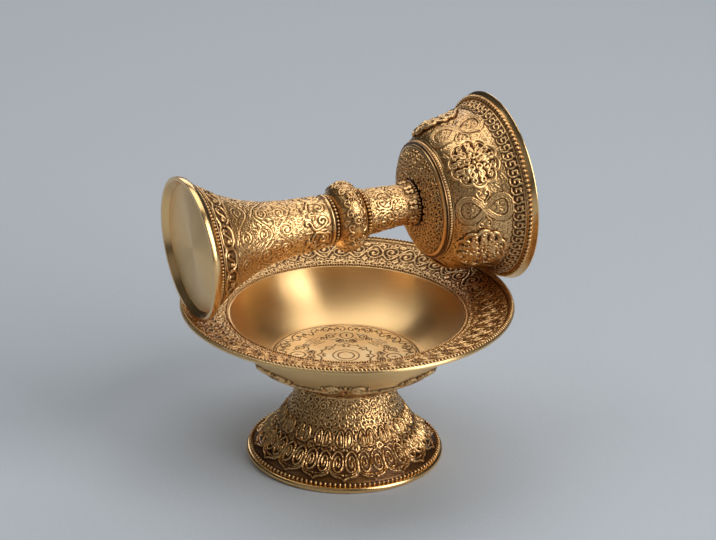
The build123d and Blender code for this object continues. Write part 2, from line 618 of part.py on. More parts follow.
def cup_gap(x, z, pitch):
    """Least distance from the cup's wall to the rim's wire and roll."""
    least = RIM_RADIUS
    for height, wire in ((RIM_WIRE_HEIGHT, RIM_WIRE), (RIM_ROLL_HEIGHT, RIM_ROLL_RADIUS)):
        for step in range(-60, 61):
            angle = radians(step)
            away_x = RIM_WIRE_RADIUS * cos(angle) - x
            away_y = RIM_WIRE_RADIUS * sin(angle) - GOBLET_OFFSET_Y
            away_z = height - z
            along = away_x * cos(pitch) + away_z * sin(pitch)
            across = hypot(away_z * cos(pitch) - away_x * sin(pitch), away_y)
            slope = cup_radius(along + wire) - cup_radius(along)
            gap = (across - cup_radius(along)) * wire / hypot(wire, slope) - wire
            least = min(least, gap)
    return least


def rest_pose():
    """Place of the goblet's base and its pitch when it lies on the flange and on the rim."""
    pitch = 0.0
    z = RIM_HEIGHT + BASE_RADIUS
    rest = GOBLET_LENGTH - CUP_REST_DEPTH
    rim_x = sqrt(RIM_WIRE_RADIUS**2 - GOBLET_OFFSET_Y**2)
    seat_radius = RIM_WIRE_RADIUS - RIM_WIRE - BASE_REST_INSET
    seat_x = sqrt(seat_radius**2 - GOBLET_OFFSET_Y**2)
    for _ in range(60):
        hooked_x = rim_x - rest * cos(pitch) - cup_radius(rest) * sin(pitch)
        seated_x = -seat_x - BASE_RADIUS * sin(pitch)
        x = max(hooked_x, seated_x)
        z += REST_GAP - base_gap(x, z, pitch)
        pitch += (REST_GAP - cup_gap(x, z, pitch)) / rest
    return x, z, pitch


def lay_goblet(shape):
    """Turn a piece of the upright goblet to where it lies across the rim."""
    x, z, pitch = REST_POSE
    axis = (cos(pitch), 0, sin(pitch))
    upward = (-sin(pitch), 0, cos(pitch))
    return Plane(origin=(x, GOBLET_OFFSET_Y, z), x_dir=upward, z_dir=axis).location * shape


def make_bowl_pieces():
    nut_low = FOOT_WEB_HEIGHT - WASHER_THICKNESS - NUT_HEIGHT
    return {
        "dish": make_dish(),
        "floor_medallion": disc(MEDALLION_RADIUS, RECESS_HEIGHT, FLOOR_HEIGHT),
        "rim_bead_wire": wire_ring(RIM_WIRE_RADIUS, RIM_WIRE, RIM_WIRE_HEIGHT),
        "lip_bead_wire": wire_ring(LIP_WIRE_RADIUS, LIP_WIRE, LIP_WIRE_HEIGHT),
        "foot_collar": make_foot_collar(),
        "foot_shell": make_foot_shell(),
        "foot_bead_wire": wire_ring(FOOT_WIRE_RADIUS, FOOT_WIRE, FOOT_WIRE_HEIGHT),
        "foot_ring": make_foot_ring(),
        "foot_base_plate": make_foot_base_plate(),
        "pedestal_screw": make_pedestal_screw(),
        "pedestal_washer": washer(FOOT_WEB_HEIGHT - WASHER_THICKNESS),
        "pedestal_nut": hex_nut(nut_low),
    }


def make_goblet_pieces():
    nut_low = TRUMPET_WEB_HEIGHT - WASHER_THICKNESS - NUT_HEIGHT
    knop_wire = wire_ring(KNOP_WIRE_RADIUS, KNOP_WIRE, KNOP_GAP / 2)
    return {
        "cup": make_cup(),
        "cup_bead_wire": wire_ring(CUP_WIRE_RADIUS, CUP_WIRE, CUP_WIRE_HEIGHT),
        "cup_cartouches": make_cup_cartouches(),
        "cup_band": make_cup_band(),
        "calyx": make_calyx(),
        "stem_collar": make_stem_collar(),
        "collar_bead_wire": wire_ring(STEM_WIRE_RADIUS, STEM_WIRE, STEM_WIRE_HEIGHT),
        "upper_stem": make_upper_stem(),
        "knop": make_knop(),
        "knop_upper_bead_wire": Pos(0, 0, KNOP_HIGH) * knop_wire,
        "knop_lower_bead_wire": Pos(0, 0, TRUMPET_TOP_HEIGHT) * knop_wire,
        "trumpet": make_trumpet(),
        "base_bead_wire": wire_ring(BASE_WIRE_RADIUS, BASE_WIRE, BASE_WIRE_HEIGHT),
        "base_ring": make_base_ring(),
        "base_plate": make_base_plate(),
        "tie_rod": make_tie_rod(),
        "tie_washer": washer(TRUMPET_WEB_HEIGHT - WASHER_THICKNESS),
        "tie_nut": hex_nut(nut_low),
    }


def write(name, shape):
    """One STEP file for a node, which may be a list of like solids."""
    solids = [solid for piece in (shape if isinstance(shape, list) else [shape]) for solid in piece.solids()]
    body = solids[0] if len(solids) == 1 else Compound(children=solids)
    export_step(body, f"parts/{name}.step")


REST_POSE = rest_pose()
os.makedirs("parts", exist_ok=True)
for name, shape in make_bowl_pieces().items():
    write(name, shape)
for name, shape in make_goblet_pieces().items():
    laid = [lay_goblet(piece) for piece in shape] if isinstance(shape, list) else lay_goblet(shape)
    write(name, laid)
print("goblet base at x %.2f, z %.2f, pitch %.4f rad" % REST_POSE)
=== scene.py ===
from math import cos, pi, radians, sin, tau

import bpy
import numpy as np
from bpy.props import FloatProperty, FloatVectorProperty, IntProperty, PointerProperty
from mathutils import Matrix, Vector


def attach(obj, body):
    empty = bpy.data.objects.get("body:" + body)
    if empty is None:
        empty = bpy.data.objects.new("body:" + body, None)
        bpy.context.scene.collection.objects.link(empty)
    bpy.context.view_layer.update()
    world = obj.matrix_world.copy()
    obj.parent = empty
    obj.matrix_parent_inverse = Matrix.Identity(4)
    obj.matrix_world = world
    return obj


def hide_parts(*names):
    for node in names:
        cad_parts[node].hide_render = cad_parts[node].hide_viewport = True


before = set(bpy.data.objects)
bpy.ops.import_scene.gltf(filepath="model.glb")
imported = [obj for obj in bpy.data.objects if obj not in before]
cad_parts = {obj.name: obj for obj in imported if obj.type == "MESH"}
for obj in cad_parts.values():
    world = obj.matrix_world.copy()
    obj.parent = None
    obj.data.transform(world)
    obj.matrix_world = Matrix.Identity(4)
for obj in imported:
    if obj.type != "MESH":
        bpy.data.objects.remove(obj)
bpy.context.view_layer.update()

bl_info = {
    "name": "Offering Bowl",
    "version": (1, 0, 0),
    "blender": (4, 5, 0),
    "location": "View3D > Sidebar > Offering Bowl",
    "description": "Chased brass offering dish with its goblet laid across the rim",
    "category": "Object",
}

MM = 0.001

# Distance in metres within which the points of a seam or pole become one.
WELD = 2e-5

# Faces of a chased surface shade as one where they meet at less than this, in degrees.
CHASED_ANGLE = 80.0

# Turned profiles are written as (radius, height) in millimetres, the goblet's along its own axis.
# The goblet's foot stands at this place, in millimetres, and its axis rises by this angle, in radians.
GOBLET_PLACE = (-67.682, 9.4, 99.367)
GOBLET_PITCH = 0.05671


def length(name, description, millimetres):
    """Length property with its default in millimetres."""
    return FloatProperty(
        name=name, description=description, default=millimetres * MM, unit="LENGTH", precision=5
    )


def tint(name, description, colour):
    """Colour property, linear."""
    return FloatVectorProperty(
        name=name, description=description, default=colour, subtype="COLOR", size=3, min=0.0, max=1.0
    )


def camera_angle(name, description, degrees):
    """Angle property with its default in degrees."""
    return FloatProperty(name=name, description=description, default=radians(degrees), subtype="ANGLE")


def repeats(name, description, number, least=24):
    """Count of the beads or motifs round a ring."""
    return IntProperty(name=name, description=description, default=number, min=least)


class DishSizes(bpy.types.PropertyGroup):
    """Sizes of the footed dish"""

    rim_radius: length("Rim radius", "Outer radius of the flange's rolled rim", 70.0)
    lip_radius: length("Lip radius", "Radius where the basin meets the flange", 49.1)
    lip_height: length("Lip height", "Height of the basin's lip above the table", 63.9)
    flange_rise: length("Flange rise", "Rise of the flange from lip to rim", 5.8)
    floor_radius: length("Floor radius", "Radius of the basin's floor", 32.2)
    floor_height: length("Floor height", "Height of the basin's floor", 44.1)
    foot_radius: length("Foot radius", "Outer radius of the foot's ring", 42.0)
    neck_radius: length("Neck radius", "Radius of the foot's neck", 19.9)
    neck_height: length("Neck height", "Height of the foot's neck", 33.6)


class GobletSizes(bpy.types.PropertyGroup):
    """Sizes of the goblet"""

    base_radius: length("Base radius", "Outer radius of the goblet's base ring", 30.1)
    waist_radius: length("Waist radius", "Radius of the trumpet's waist", 13.2)
    knop_radius: length("Knop radius", "Radius of the knop's middle", 14.7)
    cup_radius: length("Cup radius", "Radius of the cup's flare under its bead row", 37.5)
    lip_radius: length("Lip radius", "Outer radius of the cup's lip", 40.5)


class OrnamentSizes(bpy.types.PropertyGroup):
    """Depth and repeats of the ornament"""

    sink: length("Ground depth", "Depth of the chased ground below the turned surface", 0.5)
    flange_repeats: repeats("Flange repeats", "Repeats of the flange's scrolls", 25, 6)
    rim_beads: repeats("Rim beads", "Beads round the dish's rim", 266)
    lip_beads: repeats("Lip beads", "Dots round the basin's lip", 300)
    foot_bars: repeats("Foot bars", "Reeded bars round the foot", 123)
    base_beads: repeats("Base beads", "Beads round the goblet's base", 110)
    stem_beads: repeats("Stem beads", "Beads in each ring of the stem", 40, 12)
    cup_beads: repeats("Cup beads", "Beads under the cup's lip", 119)


class BrassColours(bpy.types.PropertyGroup):
    """Colours of the brass, the fasteners and the floor"""

    bright: tint("Bright brass", "Colour of the rubbed brass", (0.9, 0.57, 0.245))
    warm: tint("Warm brass", "Colour of the redder clouds in the brass", (0.88, 0.53, 0.22))
    satin: tint("Satin brass", "Colour of the brushed basin", (0.95, 0.63, 0.285))
    pale: tint("Pale brass", "Colour of the engraved disc in the floor", (1.0, 0.76, 0.42))
    polished: tint("Polished brass", "Colour of the polished rings and lip", (0.9, 0.61, 0.27))
    tarnish: tint("Tarnish", "Colour of the thin brown film near the hollows", (0.42, 0.22, 0.075))
    patina: tint("Patina", "Colour of the dark patina in the chased ground", (0.10, 0.040, 0.012))
    steel: tint("Fastener steel", "Colour of the screws and nuts inside", (0.55, 0.55, 0.56))
    floor: tint("Floor", "Colour of the pale floor", (0.5, 0.54, 0.585))


class StageSettings(bpy.types.PropertyGroup):
    """Where the camera stands"""

    azimuth: camera_angle("Azimuth", "Camera angle round the dish", -24.84)
    elevation: camera_angle("Elevation", "Camera angle above the table", 25.0)
    roll: camera_angle("Roll", "Camera tilt", 1.07)
    distance: length("Distance", "Camera distance from the middle of the dish", 1100.0)


def arc(start, end, rise, count):
    """Points of an arc, both ends included, which bulges to the left of its way by rise."""
    start = np.array(start, float)
    chord = np.array(end, float) - start
    half = np.hypot(*chord) / 2
    left = np.array((-chord[1], chord[0])) / (2 * half)
    bend = (half**2 + rise**2) / (2 * abs(rise))
    centre = start + chord / 2 + left * (rise - np.sign(rise) * bend)
    reach = np.arctan2(*(start - centre)[::-1])
    turn = -2 * np.sign(rise) * np.arcsin(min(1.0, half / bend))
    angles = reach + np.linspace(0, 1, count) * turn
    return [(centre[0] + bend * cos(angle), centre[1] + bend * sin(angle)) for angle in angles]


def line(start, end, count):
    """Evenly spaced points of a straight line, both ends included."""
    return [tuple(point) for point in np.linspace(start, end, count)]


def run_lengths(points):
    """Distance of each point from the first, along the run."""
    return np.concatenate(([0], np.cumsum(np.hypot(*np.diff(points, axis=0).T))))


def directions(points):
    """Unit direction of a run at each of its points."""
    way = np.gradient(points, axis=0)
    return way / np.hypot(way[:, 0], way[:, 1])[:, None]


def beside(points, distance):
    """The same run of points, moved to the left of its way by distance."""
    path = np.array(points)
    way = directions(path)
    return [tuple(point) for point in path + distance * np.stack((-way[:, 1], way[:, 0]), axis=1)]


def round_about(radius, degrees):
    """Point on a circle about the origin."""
    return radius * cos(radians(degrees)), radius * sin(radians(degrees))


def rounded(share):
    """Height of a rounded line where the square of the share of its half width is given."""
    return np.sqrt(np.clip(1 - share**2, 0, None))


def open_piece(name):
    """Name the object that was just added, and select all of it in edit mode."""
    piece = bpy.context.object
    piece.name = name
    piece.data.name = name
    bpy.ops.object.mode_set(mode="EDIT")
    bpy.ops.mesh.select_all(action="SELECT")
    return piece


def turned(name, profile, steps, laps=8):
    """Piece whose closed profile is drawn point by point, spun through one lap, and copied round Z."""
    bpy.ops.object.select_all(action="DESELECT")
    bpy.ops.mesh.primitive_circle_add(vertices=3, radius=MM)
    piece = open_piece(name)
    bpy.ops.mesh.merge(type="CENTER")
    points = [Vector((radius * MM, 0, height * MM)) for radius, height in profile]
    bpy.ops.transform.translate(value=points[0])
    for here, there in zip(points, points[1:] + points[:1]):
        bpy.ops.mesh.extrude_vertices_move(TRANSFORM_OT_translate={"value": there - here})
    bpy.ops.mesh.select_all(action="SELECT")
    bpy.ops.mesh.spin(steps=steps // laps, angle=tau / laps, center=(0, 0, 0), axis=(0, 0, 1))
    copy_round(laps)
    close_piece()
    return piece


def copy_round(count):
    """Copies of all that is in edit mode, evenly spaced about Z."""
    bpy.ops.mesh.select_all(action="SELECT")
    angle = tau * (count - 1) / count
    bpy.ops.mesh.spin(steps=count - 1, angle=angle, dupli=True, center=(0, 0, 0), axis=(0, 0, 1))


def close_piece():
    """Weld the seams and poles, turn the faces outward and leave edit mode."""
    bpy.ops.mesh.select_all(action="SELECT")
    bpy.ops.mesh.remove_doubles(threshold=WELD)
    bpy.ops.mesh.delete_loose()
    bpy.ops.mesh.select_all(action="SELECT")
    bpy.ops.mesh.normals_make_consistent(inside=False)
    bpy.ops.object.mode_set(mode="OBJECT")


def lay_matrix():
    """Placement of the upright goblet where it lies across the rim."""
    axis = Vector((cos(GOBLET_PITCH), 0, sin(GOBLET_PITCH)))
    upward = Vector((-sin(GOBLET_PITCH), 0, cos(GOBLET_PITCH)))
    side = axis.cross(upward)
    place = Matrix((upward, side, axis)).transposed().to_4x4()
    place.translation = Vector(GOBLET_PLACE) * MM
    return place


def finish_piece(piece, body, material, node, angle):
    """Shade a piece, sharp past an angle, lay it down if it is the goblet's, tie it to its body and hide its
    node.
    """
    bpy.ops.object.select_all(action="DESELECT")
    piece.select_set(True)
    bpy.context.view_layer.objects.active = piece
    bpy.ops.object.shade_smooth_by_angle(angle=radians(angle))
    if body == "goblet":
        piece.data.transform(lay_matrix())
    piece.data.materials.clear()
    piece.data.materials.append(material)
    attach(piece, body)
    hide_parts(node)


def finish_chased(piece, body, node, angle=CHASED_ANGLE):
    """Finish a piece in rubbed brass over brown patina."""
    finish_piece(piece, body, chased_brass("relief_brass"), node, angle)


def finish_polished(piece, body, node, angle):
    """Finish a piece in polished brass."""
    finish_piece(piece, body, polished_brass("rim_brass"), node, angle)


def finish_satin(piece, body, node, angle):
    """Finish a piece in brushed brass, with the lines round its own body's axis."""
    on_goblet = body == "goblet"
    material = satin_brass("brushed_brass_goblet" if on_goblet else "brushed_brass", on_goblet)
    finish_piece(piece, body, material, node, angle)


def points_of(piece):
    """The vertices of a piece as an array, in metres."""
    flat = np.empty(len(piece.data.vertices) * 3, np.float32)
    piece.data.vertices.foreach_get("co", flat)
    return flat.reshape(-1, 3)


def move_points(piece, points):
    """Put the vertices of a piece at new places."""
    piece.data.vertices.foreach_set("co", np.ascontiguousarray(points, np.float32).ravel())
    piece.data.update()


def paint_recess(piece, values):
    """Store how deep each vertex lies in the chased ground, from nought to one."""
    layers = piece.data.attributes
    layer = layers.get("recess") or layers.new("recess", "FLOAT", "POINT")
    layer.data.foreach_set("value", np.ascontiguousarray(values, np.float32))


def scroll(at, heading, reach, bends, widths=(0.5, 0.35), rises=(1.0,), samples=44):
    """Rounded line that curls as its bends, in degrees per millimetre, change along it."""
    way = np.linspace(0, 1, samples)
    bend = np.interp(way, np.linspace(0, 1, len(bends)), np.radians(bends))
    step = reach / (samples - 1)
    angle = radians(heading) + np.concatenate(([0], np.cumsum((bend[1:] + bend[:-1]) / 2 * step)))
    middle = (angle[1:] + angle[:-1]) / 2
    x = at[0] + np.concatenate(([0], np.cumsum(np.cos(middle) * step)))
    y = at[1] + np.concatenate(([0], np.cumsum(np.sin(middle) * step)))
    return stroke_of(x, y, widths, rises)


def stroke_of(x, y, widths, rises):
    """Line of points with its half width and its height spread along it."""
    way = np.linspace(0, 1, len(x))
    width = np.interp(way, np.linspace(0, 1, len(widths)), widths)
    rise = np.interp(way, np.linspace(0, 1, len(rises)), rises)
    return np.stack((x, y, width, rise))


def drawn(points, widths=(0.4,), rises=(1.0,), samples=9):
    """Rounded line through points that are given one by one."""
    knots = np.array(points, float)
    ends = np.vstack((2 * knots[0] - knots[1], knots, 2 * knots[-1] - knots[-2]))
    part = np.linspace(0, 1, samples, endpoint=False)[:, None]
    runs = []
    for before, start, end, after in zip(ends, ends[1:], ends[2:], ends[3:]):
        rest = (2 * part**3 - 3 * part**2 + 1) * start + (3 * part**2 - 2 * part**3) * end
        lean = (part**3 - 2 * part**2 + part) * (end - before) + (part**3 - part**2) * (after - start)
        runs.append(rest + lean / 2)
    way = np.vstack(runs + [knots[-1:]])
    return stroke_of(way[:, 0], way[:, 1], widths, rises)


def spiral(at, start, turns, outer, inner, widths=(0.32, 0.36), rises=(1.0,)):
    """Round curl about a centre, from its outer radius in; turns below nought go clockwise."""
    way = np.linspace(0, 1, int(30 * abs(turns)) + 8)
    angle = radians(start) + tau * turns * way
    radius = outer + (inner - outer) * way**0.85
    return stroke_of(at[0] + radius * np.cos(angle), at[1] + radius * np.sin(angle), widths, rises)


def leaf(at, heading, reach, width, bend=0.0, rise=1.0):
    """Pointed leaf from its root."""
    widths = (0.15, width, 0.75 * width, 0.12)
    return scroll(at, heading, reach, (bend, bend), widths, (rise, rise, 0.8 * rise), 16)


def dot(at, radius, rise=1.0):
    """Round stud."""
    return np.array(((at[0],), (at[1],), (radius,), (rise,)))


def mirrored(motif):
    """A motif with its mirror image across the upright axis."""
    return motif + [stroke * np.array((-1, 1, 1, 1))[:, None] for stroke in motif]


def moved(motif, across=0.0, up=0.0, turn=0.0, scale=1.0, flip=False):
    """A motif that is flipped across its upright axis, scaled, turned and moved."""
    result = []
    c, s = cos(radians(turn)), sin(radians(turn))
    for x, y, width, rise in motif:
        x = (-x if flip else x) * scale
        y = y * scale
        result.append(np.stack((across + c * x - s * y, up + s * x + c * y, width * scale, rise)))
    return result


def softened(field, passes):
    """Heights of a sector blurred along the profile and round the axis."""
    soft = field
    for _ in range(passes):
        soft = (np.roll(soft, 1, 1) + 2 * soft + np.roll(soft, -1, 1)) / 4
        padded = np.pad(soft, ((1, 1), (0, 0)), mode="edge")
        soft = (padded[:-2] + 2 * soft + padded[2:]) / 4
    return soft


# One small curl, in shares of its own size; each curl is turned against the last by this angle, in degrees.
CURL = (
    (0.42, -0.3), (0.05, -0.46), (-0.38, -0.22), (-0.4, 0.22),
    (0.0, 0.42), (0.3, 0.2), (0.2, -0.12), (-0.06, -0.1),
)
CURL_TURN = 137.5

# Rows of curls stand closer than the curls of a row, and fade out where other lines are already raised.
ROW_SHARE = 0.87
FILL_FADE = 3.5

# How strongly patina gathers in the hollows beside raised lines, and how much of it is on a piece's back.
CREVICE = 2.2
BACK_RECESS = 0.8

# Sectors with this many columns or more are spun in halves, and points are matched to rows in batches.
FINE_COLUMNS = 60
BATCH = 20000


class Relief:
    """Heights over one sector of a turned surface, drawn as rounded lines in millimetres."""

    def __init__(self, path, sectors, columns, ground=0.3):
        self.path = np.array(path, float)
        self.along = run_lengths(self.path)
        self.sectors = sectors
        self.columns = columns
        self.turn = tau / sectors
        self.angle = (np.arange(columns) / columns - 0.5) * self.turn
        self.height = np.zeros((len(self.path), columns))
        self.ground = np.full(len(self.path), ground)

    @property
    def reach(self):
        """Length of the profile."""
        return self.along[-1]

    def radius_at(self, along):
        """Radius at a distance along the profile."""
        return float(np.interp(along, self.along, self.path[:, 0]))

    def width_at(self, along):
        """Length of one sector's arc at a distance along the profile."""
        return self.radius_at(along) * self.turn

    def field(self, motif, across, along):
        """Heights that a motif makes, with its own origin at a share of the sector and a place along."""
        heights = np.zeros_like(self.height)
        radius = self.radius_at(along)
        for x, y, width, rise in motif:
            spot = across * self.turn + x / radius
            height = along + y
            reach = width.max()
            rows = np.nonzero((self.along > height.min() - reach) & (self.along < height.max() + reach))[0]
            if not len(rows):
                continue
            spread = reach / max(self.path[rows, 0].min(), reach / tau)
            for lap in (-self.turn, 0.0, self.turn):
                near = (self.angle > spot.min() + lap - spread) & (self.angle < spot.max() + lap + spread)
                columns = np.nonzero(near)[0]
                if not len(columns):
                    continue
                away_x = self.angle[columns][None, :, None] - (spot + lap)[None, None, :]
                away_x = away_x * self.path[rows, 0][:, None, None]
                away_y = self.along[rows][:, None, None] - height[None, None, :]
                near = (away_x**2 + away_y**2) / width**2
                lift = (rise * rounded(near)).max(axis=2)
                patch = np.ix_(rows, columns)
                heights[patch] = np.maximum(heights[patch], lift)
        return heights

    def raise_(self, motif, across, along, rise):
        """Raise a motif: where its lines meet others the higher one shows."""
        self.height = np.maximum(self.height, rise * self.field(motif, across, along))

    def cut(self, motif, across, along, depth):
        """Engrave a motif: where its lines meet they are no deeper."""
        self.height = np.minimum(self.height, -depth * self.field(motif, across, along))

    def band(self, low, high, rise, edge=0.3):
        """Plain raised ring between two places along the profile."""
        rising = np.clip((self.along - low) / edge + 0.5, 0, 1)
        falling = np.clip((high - self.along) / edge + 0.5, 0, 1)
        self.height = np.maximum(self.height, rise * (rising * falling)[:, None])

    def stain(self, low, high, amount):
        """Patina on the open ground between two places along the profile."""
        self.ground[(self.along >= low) & (self.along <= high)] = amount

    def fill(self, low, high, pitch, line_width, rise):
        """Small curls between the lines that are already raised, row by row, each turned against the next."""
        free = np.clip(1 - FILL_FADE * softened(self.height, 5), 0, 1)
        rows = max(1, round((high - low) / (ROW_SHARE * pitch)))
        curl = [drawn(CURL, (line_width / pitch,), samples=5)]
        small = np.zeros_like(self.height)
        for row in range(rows):
            along = low + (row + 0.5) / rows * (high - low)
            width = self.width_at(along)
            count = max(1, round(width / pitch))
            motif = []
            for column in range(count):
                number = 7 * row + 5 * column
                across = ((column + 0.5 * (row % 2)) / count - 0.5) * width
                motif += moved(curl, across, 0, CURL_TURN * number, pitch, number % 2 == 1)
            small = np.maximum(small, self.field(motif, 0, along))
        self.height = np.maximum(self.height, rise * small * free)

    def settle(self, full):
        """Patina at each point: some on the open ground, most in the narrow hollows beside raised lines."""
        hollow = (softened(self.height, 8) - self.height) / full
        open_ground = self.ground[:, None] * (1 - self.height / full)
        return np.clip(open_ground + CREVICE * hollow, 0, 1)


def chased(name, relief, back, sink, turn=0.0, full=1.0):
    """Turned piece with a relief on its face, a sector's middle at turn degrees, and plain points behind."""
    steps = relief.sectors * relief.columns
    profile = [tuple(point) for point in relief.path] + list(back)
    laps = relief.sectors if relief.columns < FINE_COLUMNS else 2 * relief.sectors
    piece = turned(name, profile, steps, laps)
    points = points_of(piece).astype(float) / MM
    spread = np.hypot(points[:, 0], points[:, 1])
    place = np.array(profile)
    row = np.empty(len(points), int)
    for low in range(0, len(points), BATCH):
        part = slice(low, low + BATCH)
        off_radius = spread[part, None] - place[None, :, 0]
        off_height = points[part, 2, None] - place[None, :, 1]
        row[part] = (off_radius**2 + off_height**2).argmin(axis=1)
    angle = np.arctan2(points[:, 1], points[:, 0])
    column = np.rint(angle / tau * steps).astype(int) % steps
    way = directions(relief.path)
    outward = np.stack((way[:, 1], -way[:, 0]), axis=1)
    face = np.nonzero(row < len(relief.path))[0]
    cell = (row[face], column[face] % relief.columns)
    spot = relief.path[row[face]] + outward[row[face]] * (relief.height[cell] - sink)[:, None]
    spread[face] = spot[:, 0]
    points[face, 2] = spot[:, 1]
    exact = column / steps * tau - relief.turn / 2 + radians(turn)
    points[:, 0] = spread * np.cos(exact)
    points[:, 1] = spread * np.sin(exact)
    move_points(piece, points * MM)
    recess = np.full(len(points), BACK_RECESS)
    recess[face] = relief.settle(full)[cell]
    paint_recess(piece, recess)
    return piece


def volutes(radius, apart, width=0.36, turns=1.5):
    """Two spirals that roll away from each other above a common root."""
    curl = spiral((apart, radius), -90, turns, radius, 0.2 * radius, (width, width, 1.1 * width))
    return mirrored([curl])


def rinceau(width, height, line_width=0.34):
    """Running scroll: a waving stem with a large curl in each bend and sprays of leaves outside it."""
    half = width / 2
    outer = 0.31 * height
    sprig = [
        spiral((-half / 2, 0.05 * height), 215, -1.75, outer, 0.05 * height, (line_width, 1.15 * line_width)),
        leaf((-half / 2 - outer, 0.1 * height), 115, 0.3 * height, 1.2 * line_width, 9),
        leaf((-half / 2 - 0.6 * outer, 0.32 * height), 100, 0.2 * height, 1.1 * line_width, -9),
        leaf((-half / 2 + 0.7 * outer, 0.3 * height), 62, 0.26 * height, 1.2 * line_width, 10),
        leaf((-half / 2 + outer, 0.08 * height), 30, 0.3 * height, 1.2 * line_width, 12),
        spiral((0.02 * half, 0.36 * height), 200, -1.3, 0.1 * height, 0.03 * height, (line_width,)),
        dot((-half / 2, 0.05 * height), 1.5 * line_width),
        leaf((-half / 2, -0.38 * height), -30, 0.22 * height, line_width, 14),
    ]
    wave = np.linspace(-half, half, 13)
    stem = drawn([(x, -0.33 * height * cos(pi * (x / half + 0.5))) for x in wave], (1.1 * line_width,))
    turned_round = [stroke * np.array((-1, -1, 1, 1))[:, None] for stroke in sprig]
    return sprig + turned_round + [stem]


def cloud_head():
    """Double spiral head: two tall ovals that roll in on themselves above a double cusped lower edge."""
    oval = drawn(
        ((0.3, -2.9), (0.25, 0.4), (0.75, 3.4), (2.7, 5.2), (4.7, 3.7), (5.25, 0.6), (4.8, -2.2), (3.2, -3.7),
         (1.7, -2.6), (1.35, 0.2), (2.0, 2.7), (3.2, 2.9), (3.9, 1.0), (3.4, -1.2), (2.5, -1.0), (2.6, 0.5)),
        (0.3, 0.34, 0.34, 0.3, 0.34),
    )
    lower = drawn(((5.75, -7.3), (4.6, -6.2), (3.1, -5.8), (1.4, -5.0), (0.0, -3.3)), (0.24, 0.32, 0.28))
    inner = drawn(
        ((5.3, -4.9), (4.2, -4.7), (2.9, -4.7), (1.4, -3.9), (0.0, -2.2)), (0.22, 0.28, 0.24), (0.85,)
    )
    glint = leaf((2.2, -0.2), 70, 2.0, 0.34, 20, 0.8)
    return mirrored([oval, lower, inner, glint])


def petals():
    """Pair of upright domed petals that lean apart, each with a rim line and a vein."""
    rim = drawn(
        ((0.5, -3.3), (2.2, -3.1), (3.2, -1.0), (3.0, 1.6), (1.9, 3.4), (0.8, 2.4), (0.4, -0.4), (0.5, -3.3)),
        (0.28, 0.34),
    )
    body = scroll((1.4, -2.6), 84, 5.2, (-2, 2), (0.8, 1.25, 1.0, 0.4), (0.5, 0.62, 0.5), 20)
    vein = scroll((1.5, -1.6), 84, 3.4, (4, -4), (0.34, 0.3, 0.2), (0.95,), 12)
    return mirrored([rim, body, vein])


def butterfly(size=1.0):
    """Two crossing scrolls whose four ends curl outward like wings."""
    wing = drawn(
        ((2.5, -2.9), (3.1, -3.5), (3.7, -2.8), (3.2, -1.7), (1.8, -1.2), (0.6, -0.3), (0.6, 1.1), (1.5, 3.0),
         (3.0, 4.2), (4.3, 3.6), (4.4, 2.1), (3.3, 1.5), (2.5, 2.3), (3.1, 3.0)),
        (0.5, 0.42, 0.5, 0.5, 0.42, 0.52),
    )
    leaves = [leaf((1.0, 3.4), 75, 2.4, 0.5, -10), leaf((3.7, -0.9), 20, 2.0, 0.5, 20)]
    bud = [leaf((0, 1.2), 90, 3.0, 0.55), dot((0, -1.6), 0.5), leaf((0, -2.2), -90, 2.4, 0.5)]
    return moved(mirrored([wing] + leaves) + bud, scale=size)


def peony(radius):
    """Round flower: a bud, a ring of small petals and a ring of curled ones."""
    motif = [dot((0, 0), 0.2 * radius)]
    for number in range(6):
        motif.append(dot(round_about(0.42 * radius, 60 * number), 0.17 * radius, 0.9))
    for number in range(8):
        spot = round_about(0.78 * radius, 45 * number + 20)
        motif.append(spiral(spot, 45 * number + 160, 1.15, 0.24 * radius, 0.07 * radius, (0.24,), (0.9,)))
    return motif


def palmette(size, count=5, fan=130.0, width=0.34):
    """Fan of leaves on one root, with a curl at each side."""
    motif = []
    for number in range(count):
        side = 2 * number / (count - 1) - 1
        reach = size * (1 - 0.25 * abs(side))
        motif.append(leaf((0.12 * size * side, 0), 90 - side * fan / 2, reach, width, -side * 9))
    curl = spiral((0.42 * size, -0.12 * size), 120, -1.2, 0.2 * size, 0.05 * size, (0.8 * width,))
    return motif + mirrored([curl])


def make_group(name, inputs, outputs):
    """Empty shader node group with its sockets, given as (kind, name, value)."""
    group = bpy.data.node_groups.new(name, "ShaderNodeTree")
    for kind, label, value in inputs:
        socket = group.interface.new_socket(name=label, in_out="INPUT", socket_type=kind)
        if value is not None:
            socket.default_value = value
    for kind, label in outputs:
        group.interface.new_socket(name=label, in_out="OUTPUT", socket_type=kind)
    return group, group.nodes.new("NodeGroupInput"), group.nodes.new("NodeGroupOutput")


def join(tree, socket, value):
    """Link an input to a socket, or set it to a plain value."""
    if isinstance(value, bpy.types.NodeSocket):
        tree.links.new(value, socket)
    elif value is not None:
        socket.default_value = value


def add_node(tree, kind, links=(), **settings):
    """New node, with links as (input, socket or plain value)."""
    node = tree.nodes.new(kind)
    for key, value in settings.items():
        setattr(node, key, value)
    for socket, value in links:
        join(tree, node.inputs[socket], value)
    return node


def mix_colours(tree, factor, first, second):
    """Blend of two colours."""
    node = tree.nodes.new("ShaderNodeMix")
    node.data_type = "RGBA"
    sockets = [socket for socket in node.inputs if socket.enabled]
    for socket, value in zip(sockets, (factor, first, second)):
        join(tree, socket, value)
    return [socket for socket in node.outputs if socket.enabled][0]


def calc(tree, operation, first, second=None, third=None):
    """One sum on values."""
    node = tree.nodes.new("ShaderNodeMath")
    node.operation = operation
    for socket, value in zip(node.inputs, (first, second, third)):
        join(tree, socket, value)
    return node.outputs[0]


